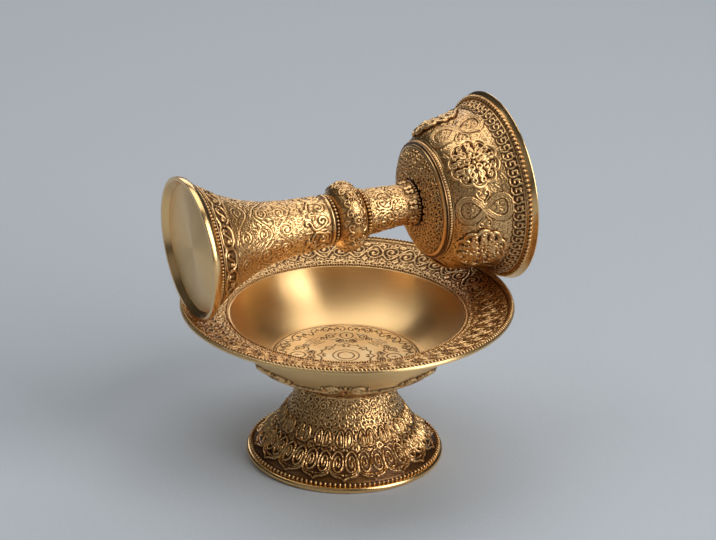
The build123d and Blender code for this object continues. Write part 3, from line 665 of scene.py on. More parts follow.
def noise(tree, place, scale, detail=3.0):
    """Cloudy values between nought and one."""
    node = add_node(tree, "ShaderNodeTexNoise", [("Vector", place), ("Scale", scale), ("Detail", detail)])
    return node.outputs["Fac"]


def ease(tree, value, low, high):
    """Smooth step of a value between two bounds."""
    links = [("Value", value), ("From Min", low), ("From Max", high)]
    return add_node(tree, "ShaderNodeMapRange", links, interpolation_type="SMOOTHSTEP").outputs[0]


def patina_group():
    """Brown patina that stays in the chased hollows, with fine engraved arcs on the open ground."""
    colour = "NodeSocketColor"
    group, inlet, outlet = make_group(
        "Patina",
        [("NodeSocketVector", "Vector", None), ("NodeSocketFloat", "Recess", 0.0), (colour, "Bright", None),
         (colour, "Warm", None), (colour, "Tarnish", None), (colour, "Dark", None)],
        [(colour, "Color"), ("NodeSocketFloat", "Roughness"), ("NodeSocketFloat", "Height")],
    )
    place = inlet.outputs["Vector"]
    recess = inlet.outputs["Recess"]
    cloud = noise(group, place, scale=75.0, detail=4.0)
    grit = noise(group, place, scale=1100.0)
    sway = noise(group, place, scale=260.0, detail=1.0)
    cells = add_node(group, "ShaderNodeTexVoronoi", [("Vector", place), ("Scale", 300.0)])
    wander = calc(group, "MULTIPLY_ADD", sway, 0.5, cells.outputs["Distance"])
    arcs = ease(group, calc(group, "SINE", calc(group, "MULTIPLY", wander, 19.0)), low=0.25, high=0.95)
    shallow = calc(group, "SUBTRACT", 1.0, ease(group, recess, low=0.3, high=0.5))
    open_ground = calc(group, "MULTIPLY", ease(group, recess, low=0.04, high=0.12), shallow)
    engraved = calc(group, "MULTIPLY", arcs, open_ground)
    drift = calc(group, "MULTIPLY_ADD", cloud, 0.3, -0.15)
    speck = calc(group, "MULTIPLY_ADD", grit, 0.2, -0.1)
    shifted = calc(group, "ADD", calc(group, "ADD", recess, drift), speck)
    shifted = calc(group, "MULTIPLY_ADD", engraved, 0.4, shifted)
    brown = ease(group, shifted, low=0.1, high=0.62)
    deep = ease(group, shifted, low=0.5, high=1.0)
    redder = ease(group, cloud, low=0.38, high=0.62)
    gold = mix_colours(group, redder, inlet.outputs["Bright"], inlet.outputs["Warm"])
    aged = mix_colours(group, brown, gold, inlet.outputs["Tarnish"])
    rough = calc(group, "MULTIPLY_ADD", brown, 0.18, 0.24)
    join(group, outlet.inputs["Color"], mix_colours(group, deep, aged, inlet.outputs["Dark"]))
    join(group, outlet.inputs["Roughness"], calc(group, "MULTIPLY_ADD", grit, 0.1, rough))
    join(group, outlet.inputs["Height"], calc(group, "MULTIPLY_ADD", engraved, -1.0, grit))
    return group


def turned_lines_group():
    """Fine lines round the axis that a lathe and brush leave."""
    group, inlet, outlet = make_group(
        "TurnedLines",
        [("NodeSocketVector", "Vector", None)],
        [("NodeSocketFloat", "Lines"), ("NodeSocketFloat", "Tone")],
    )
    split = add_node(group, "ShaderNodeSeparateXYZ", [("Vector", inlet.outputs["Vector"])])
    flat = add_node(group, "ShaderNodeCombineXYZ", [("X", split.outputs["X"]), ("Y", split.outputs["Y"])])
    span = add_node(group, "ShaderNodeVectorMath", [(0, flat.outputs[0])], operation="LENGTH")
    polar = add_node(group, "ShaderNodeCombineXYZ", [("X", span.outputs["Value"]), ("Y", split.outputs["Z"])])
    join(group, outlet.inputs["Lines"], noise(group, polar.outputs[0], scale=2600.0, detail=2.0))
    join(group, outlet.inputs["Tone"], noise(group, polar.outputs[0], scale=420.0))
    return group


def handling_group():
    """Soft smears and tiny scratches that handling leaves on polished metal."""
    number = "NodeSocketFloat"
    group, inlet, outlet = make_group(
        "Handling",
        [("NodeSocketVector", "Vector", None), (number, "Base", 0.2), (number, "Spread", 0.1)],
        [(number, "Roughness"), (number, "Height"), (number, "Smear")],
    )
    place = inlet.outputs["Vector"]
    smear = noise(group, place, scale=60.0, detail=5.0)
    rough = calc(group, "MULTIPLY_ADD", smear, inlet.outputs["Spread"], inlet.outputs["Base"])
    join(group, outlet.inputs["Roughness"], rough)
    join(group, outlet.inputs["Height"], noise(group, place, scale=1500.0, detail=2.0))
    join(group, outlet.inputs["Smear"], smear)
    return group


def place_group(tree, name, maker, links):
    """A shared node group, built the first time it is asked for, with its own values here."""
    return add_node(tree, "ShaderNodeGroup", links, node_tree=bpy.data.node_groups.get(name) or maker())


def opaque(colour):
    """Colour with full alpha."""
    return (*colour, 1.0)


def new_material(name):
    """Material with its Principled shader, its tree and object coordinates."""
    material = bpy.data.materials.new(name)
    material.use_nodes = True
    tree = material.node_tree
    shader = tree.nodes["Principled BSDF"]
    place = tree.nodes.new("ShaderNodeTexCoord").outputs["Object"]
    return material, tree, shader, place


def goblet_mapping(tree, place):
    """Coordinates along the goblet's own axis."""
    turn = lay_matrix().inverted()
    node = add_node(tree, "ShaderNodeMapping", [("Vector", place)], vector_type="POINT")
    node.inputs["Location"].default_value = turn.translation
    node.inputs["Rotation"].default_value = turn.to_euler()
    return node.outputs["Vector"]


# Height of the finest marks in the metal, in metres, and the weight of its clear coat.
FINE_MARKS = 0.0002
LACQUER = 0.3


def bump(tree, shader, height, strength, distance=FINE_MARKS):
    """Fine marks that only tilt the light."""
    links = [("Height", height), ("Strength", strength), ("Distance", distance)]
    tree.links.new(add_node(tree, "ShaderNodeBump", links).outputs["Normal"], shader.inputs["Normal"])


def lacquer(shader, roughness):
    """Metal under a thin clear coat."""
    shader.inputs["Metallic"].default_value = 1.0
    shader.inputs["Coat Weight"].default_value = LACQUER
    shader.inputs["Coat Roughness"].default_value = roughness


def two_tone(tree, shader, factor, first, second):
    """Colour that drifts between two."""
    tone = mix_colours(tree, factor, opaque(first), opaque(second))
    tree.links.new(tone, shader.inputs["Base Color"])


def handle(tree, shader, place, base, spread):
    """Roughness with the smears of handling, whose group also gives their mask and the scratches."""
    links = [("Vector", place), ("Base", base), ("Spread", spread)]
    node = place_group(tree, "Handling", handling_group, links)
    tree.links.new(node.outputs["Roughness"], shader.inputs["Roughness"])
    return node


def made_once(build):
    """Material maker that hands out the finished material when its name is asked for again."""

    def give(name, *choices):
        return bpy.data.materials.get(name) or build(name, *choices)

    return give


@made_once
def chased_brass(name, engraved=False):
    """Rubbed relief over brown patina, or a pale disc with dark engraved lines."""
    colours = bpy.context.scene.offering_colours
    bright, warm = (colours.pale, colours.satin) if engraved else (colours.bright, colours.warm)
    material, tree, shader, place = new_material(name)
    recess = add_node(tree, "ShaderNodeAttribute", attribute_name="recess").outputs["Fac"]
    patina = place_group(tree, "Patina", patina_group, [
        ("Vector", place), ("Recess", recess), ("Bright", opaque(bright)), ("Warm", opaque(warm)),
        ("Tarnish", opaque(colours.tarnish)), ("Dark", opaque(colours.patina)),
    ])
    tree.links.new(patina.outputs["Color"], shader.inputs["Base Color"])
    lacquer(shader, roughness=0.25)
    if engraved:
        lines = place_group(tree, "TurnedLines", turned_lines_group, [("Vector", place)])
        bump(tree, shader, lines.outputs["Lines"], strength=0.1)
        handle(tree, shader, place, base=0.42, spread=0.1)
    else:
        bump(tree, shader, patina.outputs["Height"], strength=0.25, distance=0.0003)
        tree.links.new(patina.outputs["Roughness"], shader.inputs["Roughness"])
    return material


@made_once
def polished_brass(name):
    """Polished rims, rings and lips."""
    colours = bpy.context.scene.offering_colours
    material, tree, shader, place = new_material(name)
    handled = handle(tree, shader, place, base=0.16, spread=0.14)
    two_tone(tree, shader, handled.outputs["Smear"], colours.polished, colours.warm)
    lacquer(shader, roughness=0.2)
    bump(tree, shader, handled.outputs["Height"], strength=0.06)
    return material


@made_once
def satin_brass(name, on_goblet):
    """Brushed brass with fine turned lines, whose reflections spread across the lines."""
    colours = bpy.context.scene.offering_colours
    material, tree, shader, place = new_material(name)
    if on_goblet:
        place = goblet_mapping(tree, place)
    lines = place_group(tree, "TurnedLines", turned_lines_group, [("Vector", place)])
    handle(tree, shader, place, base=0.33, spread=0.08)
    two_tone(tree, shader, lines.outputs["Tone"], colours.satin, colours.polished)
    lacquer(shader, roughness=0.35)
    shader.inputs["Anisotropic"].default_value = 0.88
    shader.inputs["Anisotropic Rotation"].default_value = 0.25
    around_axis = add_node(tree, "ShaderNodeTangent", direction_type="RADIAL", axis="X" if on_goblet else "Z")
    tree.links.new(around_axis.outputs["Tangent"], shader.inputs["Tangent"])
    bump(tree, shader, lines.outputs["Lines"], strength=0.16)
    return material


@made_once
def fastener_steel(name):
    """Brushed steel of the fasteners inside."""
    steel = bpy.context.scene.offering_colours.steel
    worn = tuple(0.8 * value for value in steel)
    material, tree, shader, place = new_material(name)
    handled = handle(tree, shader, place, base=0.28, spread=0.2)
    two_tone(tree, shader, handled.outputs["Smear"], steel, worn)
    shader.inputs["Metallic"].default_value = 1.0
    bump(tree, shader, handled.outputs["Height"], strength=0.1)
    return material


# Chased face of the flange: points round each repeat, inner and outer radius, and the plate's thickness.
FLANGE_COLUMNS = 44
FLANGE_LOW = 50.55
FLANGE_HIGH = 67.9
FLANGE_PLATE = 0.95

# Bulge of the basin's inner face, thickness of its wall, and the tube and bore at its rim and floor.
BASIN_BULGE = -3.3
BASIN_WALL = 1.6
ROLL_RADIUS = 1.1
BASIN_BORE = 9.0


def flange_point(radius, drop=0.0):
    """Point on the flange's upper face, or below it by drop, in millimetres."""
    dish = bpy.context.scene.offering_dish
    slope = dish.flange_rise / (dish.rim_radius - dish.lip_radius)
    return radius, dish.lip_height / MM + (radius - dish.lip_radius / MM) * slope - drop


def basin_ends():
    """Edge of the basin's floor and its lip, in millimetres."""
    dish = bpy.context.scene.offering_dish
    return (dish.floor_radius / MM, dish.floor_height / MM), (dish.lip_radius / MM, dish.lip_height / MM)


def basin_wall(count, off=0.0):
    """Run up the basin's inner face, or to the left of it by off."""
    return beside(arc(*basin_ends(), BASIN_BULGE, count), off)


class OFFERING_OT_dish(bpy.types.Operator):
    """Basin with its lip, rolled rim and plain underside"""

    bl_idname = "offering.make_dish"
    bl_label = "Dish"

    def execute(self, context):
        dish = context.scene.offering_dish
        floor, lip = basin_ends()
        roll_x = dish.rim_radius / MM - ROLL_RADIUS
        roll_y = lip[1] + dish.flange_rise / MM - ROLL_RADIUS
        roll = [round_about(ROLL_RADIUS, angle) for angle in range(150, -101, -10)]
        under = floor[1] - 1.8
        seat = under + 0.9
        seat_edge = floor[0] - 0.65
        profile = basin_wall(44) + [(lip[0] + 0.25, lip[1] + 0.1), (lip[0] + 0.6, lip[1] + 0.08)]
        profile += [flange_point(radius, 0.7) for radius in (lip[0] + 0.7, roll_x - 1.3)]
        profile += [(roll_x + x, roll_y + y) for x, y in roll]
        profile += line(flange_point(FLANGE_HIGH, 1.66), flange_point(51.3, 1.66), 12)
        profile += basin_wall(30, -BASIN_WALL)[::-1]
        profile += [(floor[0], under), (20.0, under), (BASIN_BORE, under)]
        profile += [(BASIN_BORE, seat), (seat_edge, seat), (seat_edge, floor[1])]
        finish_satin(turned("dish_basin", profile, 240), "bowl", "dish", 30.0)
        return {"FINISHED"}


class OFFERING_OT_flange(bpy.types.Operator):
    """Chased upper face of the flange, with running scrolls among small curls"""

    bl_idname = "offering.make_flange"
    bl_label = "Flange"

    def execute(self, context):
        ornament = context.scene.offering_ornament
        ends = [flange_point(radius) for radius in (FLANGE_LOW, FLANGE_HIGH)]
        relief = Relief(line(*ends, 68)[::-1], ornament.flange_repeats, FLANGE_COLUMNS, ground=0.9)
        middle = 8.2
        relief.raise_(rinceau(relief.width_at(middle), 13.6, 0.45), 0, middle, rise=0.65)
        relief.band(0.0, 0.5, rise=0.55)
        relief.fill(0.6, 17.7, pitch=2.9, line_width=0.36, rise=0.55)
        piece = chased("dish_flange", relief, beside(ends, -FLANGE_PLATE), ornament.sink / MM, full=0.55)
        finish_chased(piece, "bowl", "dish")
        return {"FINISHED"}


# Angle of a sector's middle about the dish's axis, in degrees.
FOOT_TURN = -124.8
MEDALLION_TURN = 65.16
COLLAR_TURN = -114.84

# Depth of the engraved lines, in millimetres.
ENGRAVED = 0.2


class OFFERING_OT_medallion(bpy.types.Operator):
    """Engraved disc let into the basin's floor"""

    bl_idname = "offering.make_medallion"
    bl_label = "Floor Medallion"

    def execute(self, context):
        dish = context.scene.offering_dish
        top = dish.floor_height / MM - 0.04
        edge = dish.floor_radius / MM - 0.75
        under = top - 0.75
        relief = Relief(line((edge, top), (0.0, top), 124), sectors=4, columns=180)
        for across, along, motif in self.engraving(edge):
            relief.cut(motif, across, along, ENGRAVED)
        back = [(0.0, under), (edge, under)]
        piece = chased("floor_medallion_engraved", relief, back, sink=0.0, turn=MEDALLION_TURN)
        paint_recess(piece, np.clip((top - points_of(piece)[:, 2] / MM) / ENGRAVED, 0, 1))
        material = chased_brass("engraved_brass", True)
        finish_piece(piece, "bowl", material, "floor_medallion", CHASED_ANGLE)
        return {"FINISHED"}

    def engraving(self, edge):
        """Motifs of one quarter, as (share across, place along, strokes), with the middle upward."""
        thin = 0.29
        arch = mirrored([
            drawn(((0, 0), (2.6, 0.4), (4.9, 1.7), (5.4, 3.8), (4.3, 4.9), (3.1, 4.3), (3.4, 3.2)), (thin,)),
            spiral((1.4, 2.7), -90, 1.2, 1.1, 0.3, (thin,)),
        ]) + [leaf((0, 2.6), 90, 3.0, 0.4)]
        yield 0, 1.2, moved(arch, -6.2) + moved(arch, 6.2)
        yield 0.5, 1.4, moved(arch, scale=1.1)
        small = moved(arch, scale=0.8)
        yield 0.27, 1.2, small
        yield -0.27, 1.2, small
        eyes = mirrored([
            spiral((7.0, 0), 200, 1.6, 2.4, 0.6, (thin,)),
            drawn(((0.0, -3.2), (1.9, -2.0), (2.9, 0.2), (2.1, 2.4), (0, 3.4)), (thin,)),
            spiral((2.6, 4.9), -60, 1.3, 1.5, 0.4, (thin,)),
            leaf((3.6, -2.4), 30, 2.6, 0.34, 16),
            drawn(((4.2, 2.6), (5.6, 3.6), (7.4, 3.4), (8.6, 2.4)), (thin,)),
            spiral((5.4, 5.6), 250, -1.2, 1.2, 0.35, (thin,)),
            drawn(((0.2, 6.4), (1.6, 7.0), (3.4, 6.8), (4.6, 7.4)), (thin,)),
        ]) + [leaf((0, -1.4), 90, 3.0, 0.45), dot((0, 5.2), 0.6)]
        yield 0, 11.0, eyes
        comb = []
        for number in range(6):
            reach = 2.4 + 1.6 * (number % 2)
            rung = 1.15 * number
            comb.append(drawn(((-reach, rung), (0, rung + 0.3), (reach, rung)), (0.2,)))
        yield 0.5, 9.2, comb + mirrored([spiral((6.2, 3.0), 180, 1.5, 1.8, 0.4, (thin,))])
        fan = mirrored([
            drawn(((0.3, 0), (1.7, 1.2), (3.6, 1.4), (5.2, 0.4)), (thin,)),
            spiral((1.2, 2.9), 200, 1.2, 0.9, 0.25, (0.22,)),
        ])
        yield 0, 19.4, fan
        yield 0.5, 19.6, moved(fan, scale=0.9)
        for radius in (edge - 0.4, 5.6, 3.4):
            half = radius * pi / 2 / 2
            yield 0, edge - radius, [drawn([(x, 0) for x in np.linspace(-half, half, 30)], (0.24,))]


# Lower edge of the foot's face, the hollow of its curve, and the bore and thickness of its shell.
FOOT_LOW = (39.35, 4.45)
FOOT_HOLLOW = 2.9
FOOT_BORE = 18.2
FOOT_SHELL = 1.8


class OFFERING_OT_foot(bpy.types.Operator):
    """Flared foot with cloud heads, petals and scrolls"""

    bl_idname = "offering.make_foot"
    bl_label = "Foot"

    def execute(self, context):
        dish = context.scene.offering_dish
        ornament = context.scene.offering_ornament
        neck = (dish.neck_radius / MM, dish.neck_height / MM)
        relief = Relief(arc(FOOT_LOW, neck, FOOT_HOLLOW, 118), sectors=6, columns=116, ground=0.2)
        for low, high, amount in ((0, 13.6, 0.85), (13.6, 22.6, 0.7), (22.6, 34.6, 0.4)):
            relief.stain(low, high, amount)
        for number in range(3):
            across = (number - 1) / 3
            relief.raise_(cloud_head(), across, 8.1, rise=0.75)
            relief.raise_(petals(), across + 1 / 6, 18.4, rise=0.95)
            relief.raise_(palmette(3.4, 3, 70.0), across, 17.4, rise=0.45)
        relief.raise_(peony(3.6), 0, 29.6, rise=0.42)
        sprays = mirrored([
            spiral((6.0, 1.9), 200, -1.5, 2.3, 0.5, (0.4,)),
            spiral((5.7, -2.0), 160, 1.4, 1.6, 0.4, (0.36,)),
            leaf((3.4, 3.2), 40, 3.0, 0.55, 14),
            leaf((3.6, -3.0), -30, 2.6, 0.55, -14),
            leaf((8.6, 0.2), 70, 3.4, 0.55, -12),
        ])
        relief.raise_(sprays, 0, 29.6, rise=0.4)
        relief.raise_(palmette(4.4), 0.5, 28.0, rise=0.42)
        relief.fill(13.4, 23.0, pitch=2.9, line_width=0.36, rise=0.36)
        relief.fill(23.0, 34.6, pitch=3.2, line_width=0.4, rise=0.34)
        relief.band(relief.reach - 0.9, relief.reach + 1, rise=0.5)
        inside = beside(arc(FOOT_LOW, neck, FOOT_HOLLOW, 8), FOOT_SHELL)[-3:0:-1]
        back = [(FOOT_BORE, neck[1]), (FOOT_BORE, 30.0)] + inside + [(36.4, 2.75), (39.3, 2.75)]
        piece = chased("foot_chased", relief, back, ornament.sink / MM, FOOT_TURN, full=0.7)
        finish_chased(piece, "bowl", "foot_shell")
        return {"FINISHED"}


# Radii between which the collar's face and back follow the basin's wall, and its bore.
COLLAR_FACE = (33.2, 45.5)
COLLAR_BACK = (33.0, 45.0)
COLLAR_BORE = 18.4


class OFFERING_OT_foot_collar(bpy.types.Operator):
    """Flared collar with scroll clusters and swags between the foot and the basin"""

    bl_idname = "offering.make_foot_collar"
    bl_label = "Foot Collar"

    def execute(self, context):
        dish = context.scene.offering_dish
        ornament = context.scene.offering_ornament
        low = (dish.neck_radius / MM, dish.neck_height / MM)
        floor = dish.floor_height / MM
        path = arc(low, (31.6, 41.7), -1.3, 40)
        path += [point for point in basin_wall(70, -1.95) if COLLAR_FACE[0] < point[0] < COLLAR_FACE[1]]
        relief = Relief(path, sectors=8, columns=84, ground=0.35)
        half = relief.width_at(13) / 2
        cluster = mirrored([
            drawn(
                ((half, 13.2), (half / 2, 12.0), (3.2, 13.2), (1.7, 15.4), (2.0, 18.0), (3.8, 19.2),
                 (5.2, 18.0), (4.5, 16.4), (3.2, 16.9)),
                (0.6, 0.75, 0.75),
            ),
            drawn(((0.6, 11.0), (1.1, 14.0), (0.7, 16.4), (1.3, 19.4)), (0.6, 0.75, 0.4)),
            leaf((5.8, 14.6), 55, 4.6, 0.8, 14),
        ]) + [leaf((0, 16.8), 90, 3.6, 0.8)]
        relief.raise_(cluster, 0, 10.6, rise=1.5)
        relief.raise_(palmette(4.4), 0.5, 6.4, rise=0.55)
        relief.raise_(volutes(1.7, 1.9, 0.45), 0, 5.4, rise=0.6)
        back = [point for point in basin_wall(24, -0.9)[::-1] if COLLAR_BACK[0] < point[0] < COLLAR_BACK[1]]
        back += [(32.0, floor - 1.3), (COLLAR_BORE, floor - 1.4), (COLLAR_BORE, low[1])]
        piece = chased("foot_collar_chased", relief, back, ornament.sink / MM, COLLAR_TURN, full=0.65)
        finish_chased(piece, "bowl", "foot_collar")
        return {"FINISHED"}


class OFFERING_OT_foot_ring(bpy.types.Operator):
    """Polished ring that the dish stands on and the disc that closes it"""

    bl_idname = "offering.make_foot_ring"
    bl_label = "Foot Ring"

    def execute(self, context):
        edge = context.scene.offering_dish.foot_radius / MM - 1.0
        profile = [(39.4, 0.0)] + arc((edge, 0.0), (edge, 2.7), -1.0, 12)
        profile += [(36.0, 2.7), (35.0, 2.7), (35.0, 1.9), (39.4, 1.9)]
        finish_polished(turned("foot_ring_polished", profile, 192), "bowl", "foot_ring", 35.0)
        profile = [(0.0, 1.0), (38.6, 1.0), (39.35, 1.15), (39.35, 1.9), (0.0, 1.9)]
        finish_satin(turned("foot_plate_satin", profile, 128), "bowl", "foot_base_plate", 25.0)
        return {"FINISHED"}


# Thickness of the core wire in shares of its beads' radius.
CORE_SHARE = 0.55
BEAD_ROWS = (
    # name, node, body, count property, ring radius, wire radius, height, half width round the ring
    ("rim_beads", "rim_bead_wire", "bowl", "rim_beads", 68.9, 0.8, 69.661, 0.76),
    ("lip_dots", "lip_bead_wire", "bowl", "lip_beads", 50.1, 0.5, 64.344, 0.46),
    ("foot_reeding", "foot_bead_wire", "bowl", "foot_bars", 40.2, 0.8, 3.55, 0.62),
    ("base_beads", "base_bead_wire", "goblet", "base_beads", 25.65, 0.75, 5.2, 0.66),
    ("knop_lower_beads", "knop_lower_bead_wire", "goblet", "stem_beads", 9.925, 0.75, 63.0, 0.7),
    ("knop_upper_beads", "knop_upper_bead_wire", "goblet", "stem_beads", 9.925, 0.75, 77.6, 0.7),
    ("collar_beads", "collar_bead_wire", "goblet", "stem_beads", 8.75, 0.75, 101.0, 0.62),
    ("cup_beads", "cup_bead_wire", "goblet", "cup_beads", 38.45, 1.05, 137.2, 0.86),
)


class OFFERING_OT_beads(bpy.types.Operator):
    """Rows of beads, dots and reeded bars, each on its core wire"""

    bl_idname = "offering.make_beads"
    bl_label = "Bead Rows"

    def execute(self, context):
        ornament = context.scene.offering_ornament
        for name, node, body, count_name, ring_radius, wire, height, across in BEAD_ROWS:
            count = getattr(ornament, count_name)
            bpy.ops.object.select_all(action="DESELECT")
            bpy.ops.mesh.primitive_uv_sphere_add(segments=8, ring_count=6, radius=wire * MM)
            piece = open_piece(name)
            bpy.ops.transform.resize(value=(1, across / wire, 1))
            bpy.ops.transform.translate(value=(ring_radius * MM, 0, height * MM))
            copy_round(count)
            bpy.ops.mesh.select_all(action="DESELECT")
            bpy.ops.mesh.primitive_torus_add(
                major_radius=ring_radius * MM, minor_radius=CORE_SHARE * wire * MM,
                major_segments=96, minor_segments=6, location=(0, 0, height * MM),
            )
            bpy.ops.object.mode_set(mode="OBJECT")
            paint_recess(piece, self.recess(piece, count, ring_radius, height, wire))
            finish_chased(piece, body, node)
        return {"FINISHED"}

    def recess(self, piece, count, ring_radius, height, wire):
        """Depth between the beads: the core wire and the beads' sides towards each other are dark."""
        points = points_of(piece) / MM
        turn = np.arctan2(points[:, 1], points[:, 0]) / tau * count
        beside_middle = 2 * np.abs(turn - np.rint(turn))
        away = np.hypot(np.hypot(points[:, 0], points[:, 1]) - ring_radius, points[:, 2] - height)
        core = away < (CORE_SHARE + 0.02) * wire
        return np.where(core, 1.0, np.clip((beside_middle - 0.35) / 0.6, 0, 0.95))


class OFFERING_OT_goblet_base(bpy.types.Operator):
    """Polished base ring of the goblet and the satin disc let into it"""

    bl_idname = "offering.make_goblet_base"
    bl_label = "Goblet Base"

    def execute(self, context):
        edge = context.scene.offering_goblet.base_radius / MM
        profile = [(edge - 1.5, 0.02), (edge - 1.3, 0.0), (edge - 0.25, 0.0), (edge - 0.05, 0.1), (edge, 0.3)]
        profile += arc((edge, 0.5), (26.9, 4.35), -1.1, 14) + [(26.8, 4.4), (20.5, 4.4)]
        profile += [(20.5, 3.4), (26.55, 3.4), (26.55, 2.45)]
        finish_polished(turned("goblet_base_ring", profile, 224), "goblet", "base_ring", 30.0)
        profile = [(0.0, 2.4), (26.1, 2.4), (26.5, 2.55), (26.5, 3.4), (0.0, 3.4)]
        finish_satin(turned("goblet_base_plate", profile, 160), "goblet", "base_plate", 25.0)
        return {"FINISHED"}


# Angle of a sector's middle about the goblet's axis, in degrees, and the height of the trumpet's waist.
TRUMPET_TURN = 84.8
KNOP_TURN = 76.0
STEM_TURN = 73.4
CARTOUCHE_TURN = 45.5
WAIST_HEIGHT = 35.0


class OFFERING_OT_trumpet(bpy.types.Operator):
    """Flared foot of the goblet, with a chain of links, foliage and paired spirals"""

    bl_idname = "offering.make_trumpet"
    bl_label = "Trumpet"

    def execute(self, context):
        waist = (context.scene.offering_goblet.waist_radius / MM, WAIST_HEIGHT)
        path = arc((26.2, 6.05), waist, 1.75, 106) + arc(waist, (10.6, 62.15), 0.3, 84)[1:]
        relief = Relief(path, sectors=5, columns=98, ground=0.15)
        relief.stain(0, 9.8, amount=0.4)
        relief.band(0.0, 0.7, rise=0.4)
        link = mirrored([
            drawn(((0, 3.6), (2.6, 3.3), (4.4, 1.9), (5.0, 0), (4.4, -1.9), (2.6, -3.3), (0, -3.6)), (0.5,)),
        ]) + [drawn(
            ((-2.4, 0.3), (-2.9, -0.9), (-1.9, -1.8), (-0.8, -0.9), (0.2, 0.7), (1.5, 1.9), (2.8, 1.2),
             (2.5, 0.0), (1.6, 0.3)),
            (0.42,),
        )]
        studs = [dot((0, 0), 0.8), dot((0, 2.4), 0.5), dot((0, -2.4), 0.5)]
        for number in range(3):
            relief.raise_(link, (number - 1) / 3, 5.0, rise=0.55)
            relief.raise_(studs, (number - 0.5) / 3, 5.0, rise=0.5)
        relief.band(9.3, 9.7, rise=0.35)
        for along, across, height in ((15.5, 0.0, 11.0), (26.0, 0.5, 10.5), (36.0, 0.0, 9.5)):
            relief.raise_(rinceau(relief.width_at(along), height, 0.4), across, along, rise=0.26)
        relief.raise_(butterfly(1.25), 0, 49.8, rise=0.5)
        relief.raise_(palmette(4.0), 0.5, 47.5, rise=0.3)
        relief.raise_(moved(palmette(3.2), turn=180), 0.5, 46.0, rise=0.28)
        relief.fill(10.2, 44.0, pitch=2.7, line_width=0.3, rise=0.15)
        relief.band(relief.reach - 1.6, relief.reach - 0.5, rise=0.6)
        back = [(9.0, 62.15), (9.0, 40.0), (20.0, 9.0), (22.5, 4.45), (24.8, 4.45), (24.8, 5.9)]
        piece = chased("trumpet_chased", relief, back, sink=0.3, turn=TRUMPET_TURN, full=0.4)
        finish_chased(piece, "goblet", "trumpet")
        return {"FINISHED"}


# Radius of the knop's edges with the heights of both, and the rays of its rosettes.
KNOP_EDGE = (10.3, 63.8, 76.8)
KNOP_RAYS = 14


class OFFERING_OT_knop(bpy.types.Operator):
    """Swelling of the stem with sunburst rosettes and spirals"""

    bl_idname = "offering.make_knop"
    bl_label = "Knop"

    def execute(self, context):
        radius = context.scene.offering_goblet.knop_radius / MM
        edge, low, high = KNOP_EDGE
        relief = Relief(arc((edge, low), (edge, high), edge - radius, 62), sectors=8, columns=58, ground=0.14)
        middle = relief.reach / 2
        burst = [dot((0, 0), 0.7)]
        for number in range(KNOP_RAYS):
            angle = number * 360 / KNOP_RAYS
            burst.append(leaf(round_about(1.0, angle), angle, 1.9, 0.36))
        relief.raise_(burst, 0, middle, rise=0.75)
        ends = mirrored([drawn(
            ((0.2, 0.2), (1.2, 1.6), (2.8, 2.1), (3.8, 1.1), (3.3, -0.1), (2.3, 0.2), (2.5, 1.0)),
            (0.4, 0.46, 0.46),
        )])
        for side, turn in ((1, 0), (-1, 180)):
            relief.raise_(moved(ends, turn=turn), 0.5, middle + 2.2 * side, rise=0.45)
            relief.raise_([leaf((0, 0), 90 * side, 2.4, 0.45)], 0, middle + 3.6 * side, rise=0.35)
        back = [(9.1, high), (9.1, low)]
        piece = chased("knop_chased", relief, back, sink=0.4, turn=KNOP_TURN, full=0.5)
        finish_chased(piece, "goblet", "knop")
        return {"FINISHED"}


class OFFERING_OT_stem(bpy.types.Operator):
    """Upper stem with butterfly spirals, and the collar above it"""

    bl_idname = "offering.make_stem"
    bl_label = "Stem"

    def execute(self, context):
        relief = Relief(arc((10.0, 78.45), (8.9, 95.5), 0.3, 70), sectors=6, columns=48, ground=0.14)
        relief.raise_(moved(butterfly(1.1), turn=180), 0, 8.6, rise=0.45)
        relief.raise_([leaf((0, 0), 90, 3.4, 0.5), dot((0, -0.8), 0.5)], 0.5, 11.0, rise=0.3)
        relief.raise_([leaf((0, 0), -90, 3.0, 0.5)], 0.5, 5.4, rise=0.3)
        relief.fill(1.0, 16.6, pitch=2.3, line_width=0.28, rise=0.18)
        relief.band(0.0, 0.7, rise=0.35)
        back = [(7.5, 95.5), (7.5, 78.45)]
        piece = chased("upper_stem_chased", relief, back, sink=0.3, turn=STEM_TURN, full=0.4)
        finish_chased(piece, "goblet", "upper_stem")
        relief = Relief(line((8.95, 95.5), (9.5, 100.2), 24), sectors=8, columns=32, ground=0.4)
        relief.raise_(volutes(0.95, 1.0, 0.34), 0, 2.5, rise=0.65)
        relief.raise_(moved(volutes(0.8, 0.9, 0.3), turn=180), 0, 2.2, rise=0.6)
        relief.raise_([dot((0, 0), 0.5)], 0.5, 2.3, rise=0.6)
        back = [(7.2, 100.2), (7.2, 95.5)]
        sink = context.scene.offering_ornament.sink / MM
        piece = chased("stem_collar_chased", relief, back, sink, STEM_TURN, full=0.6)
        finish_chased(piece, "goblet", "stem_collar")
        return {"FINISHED"}


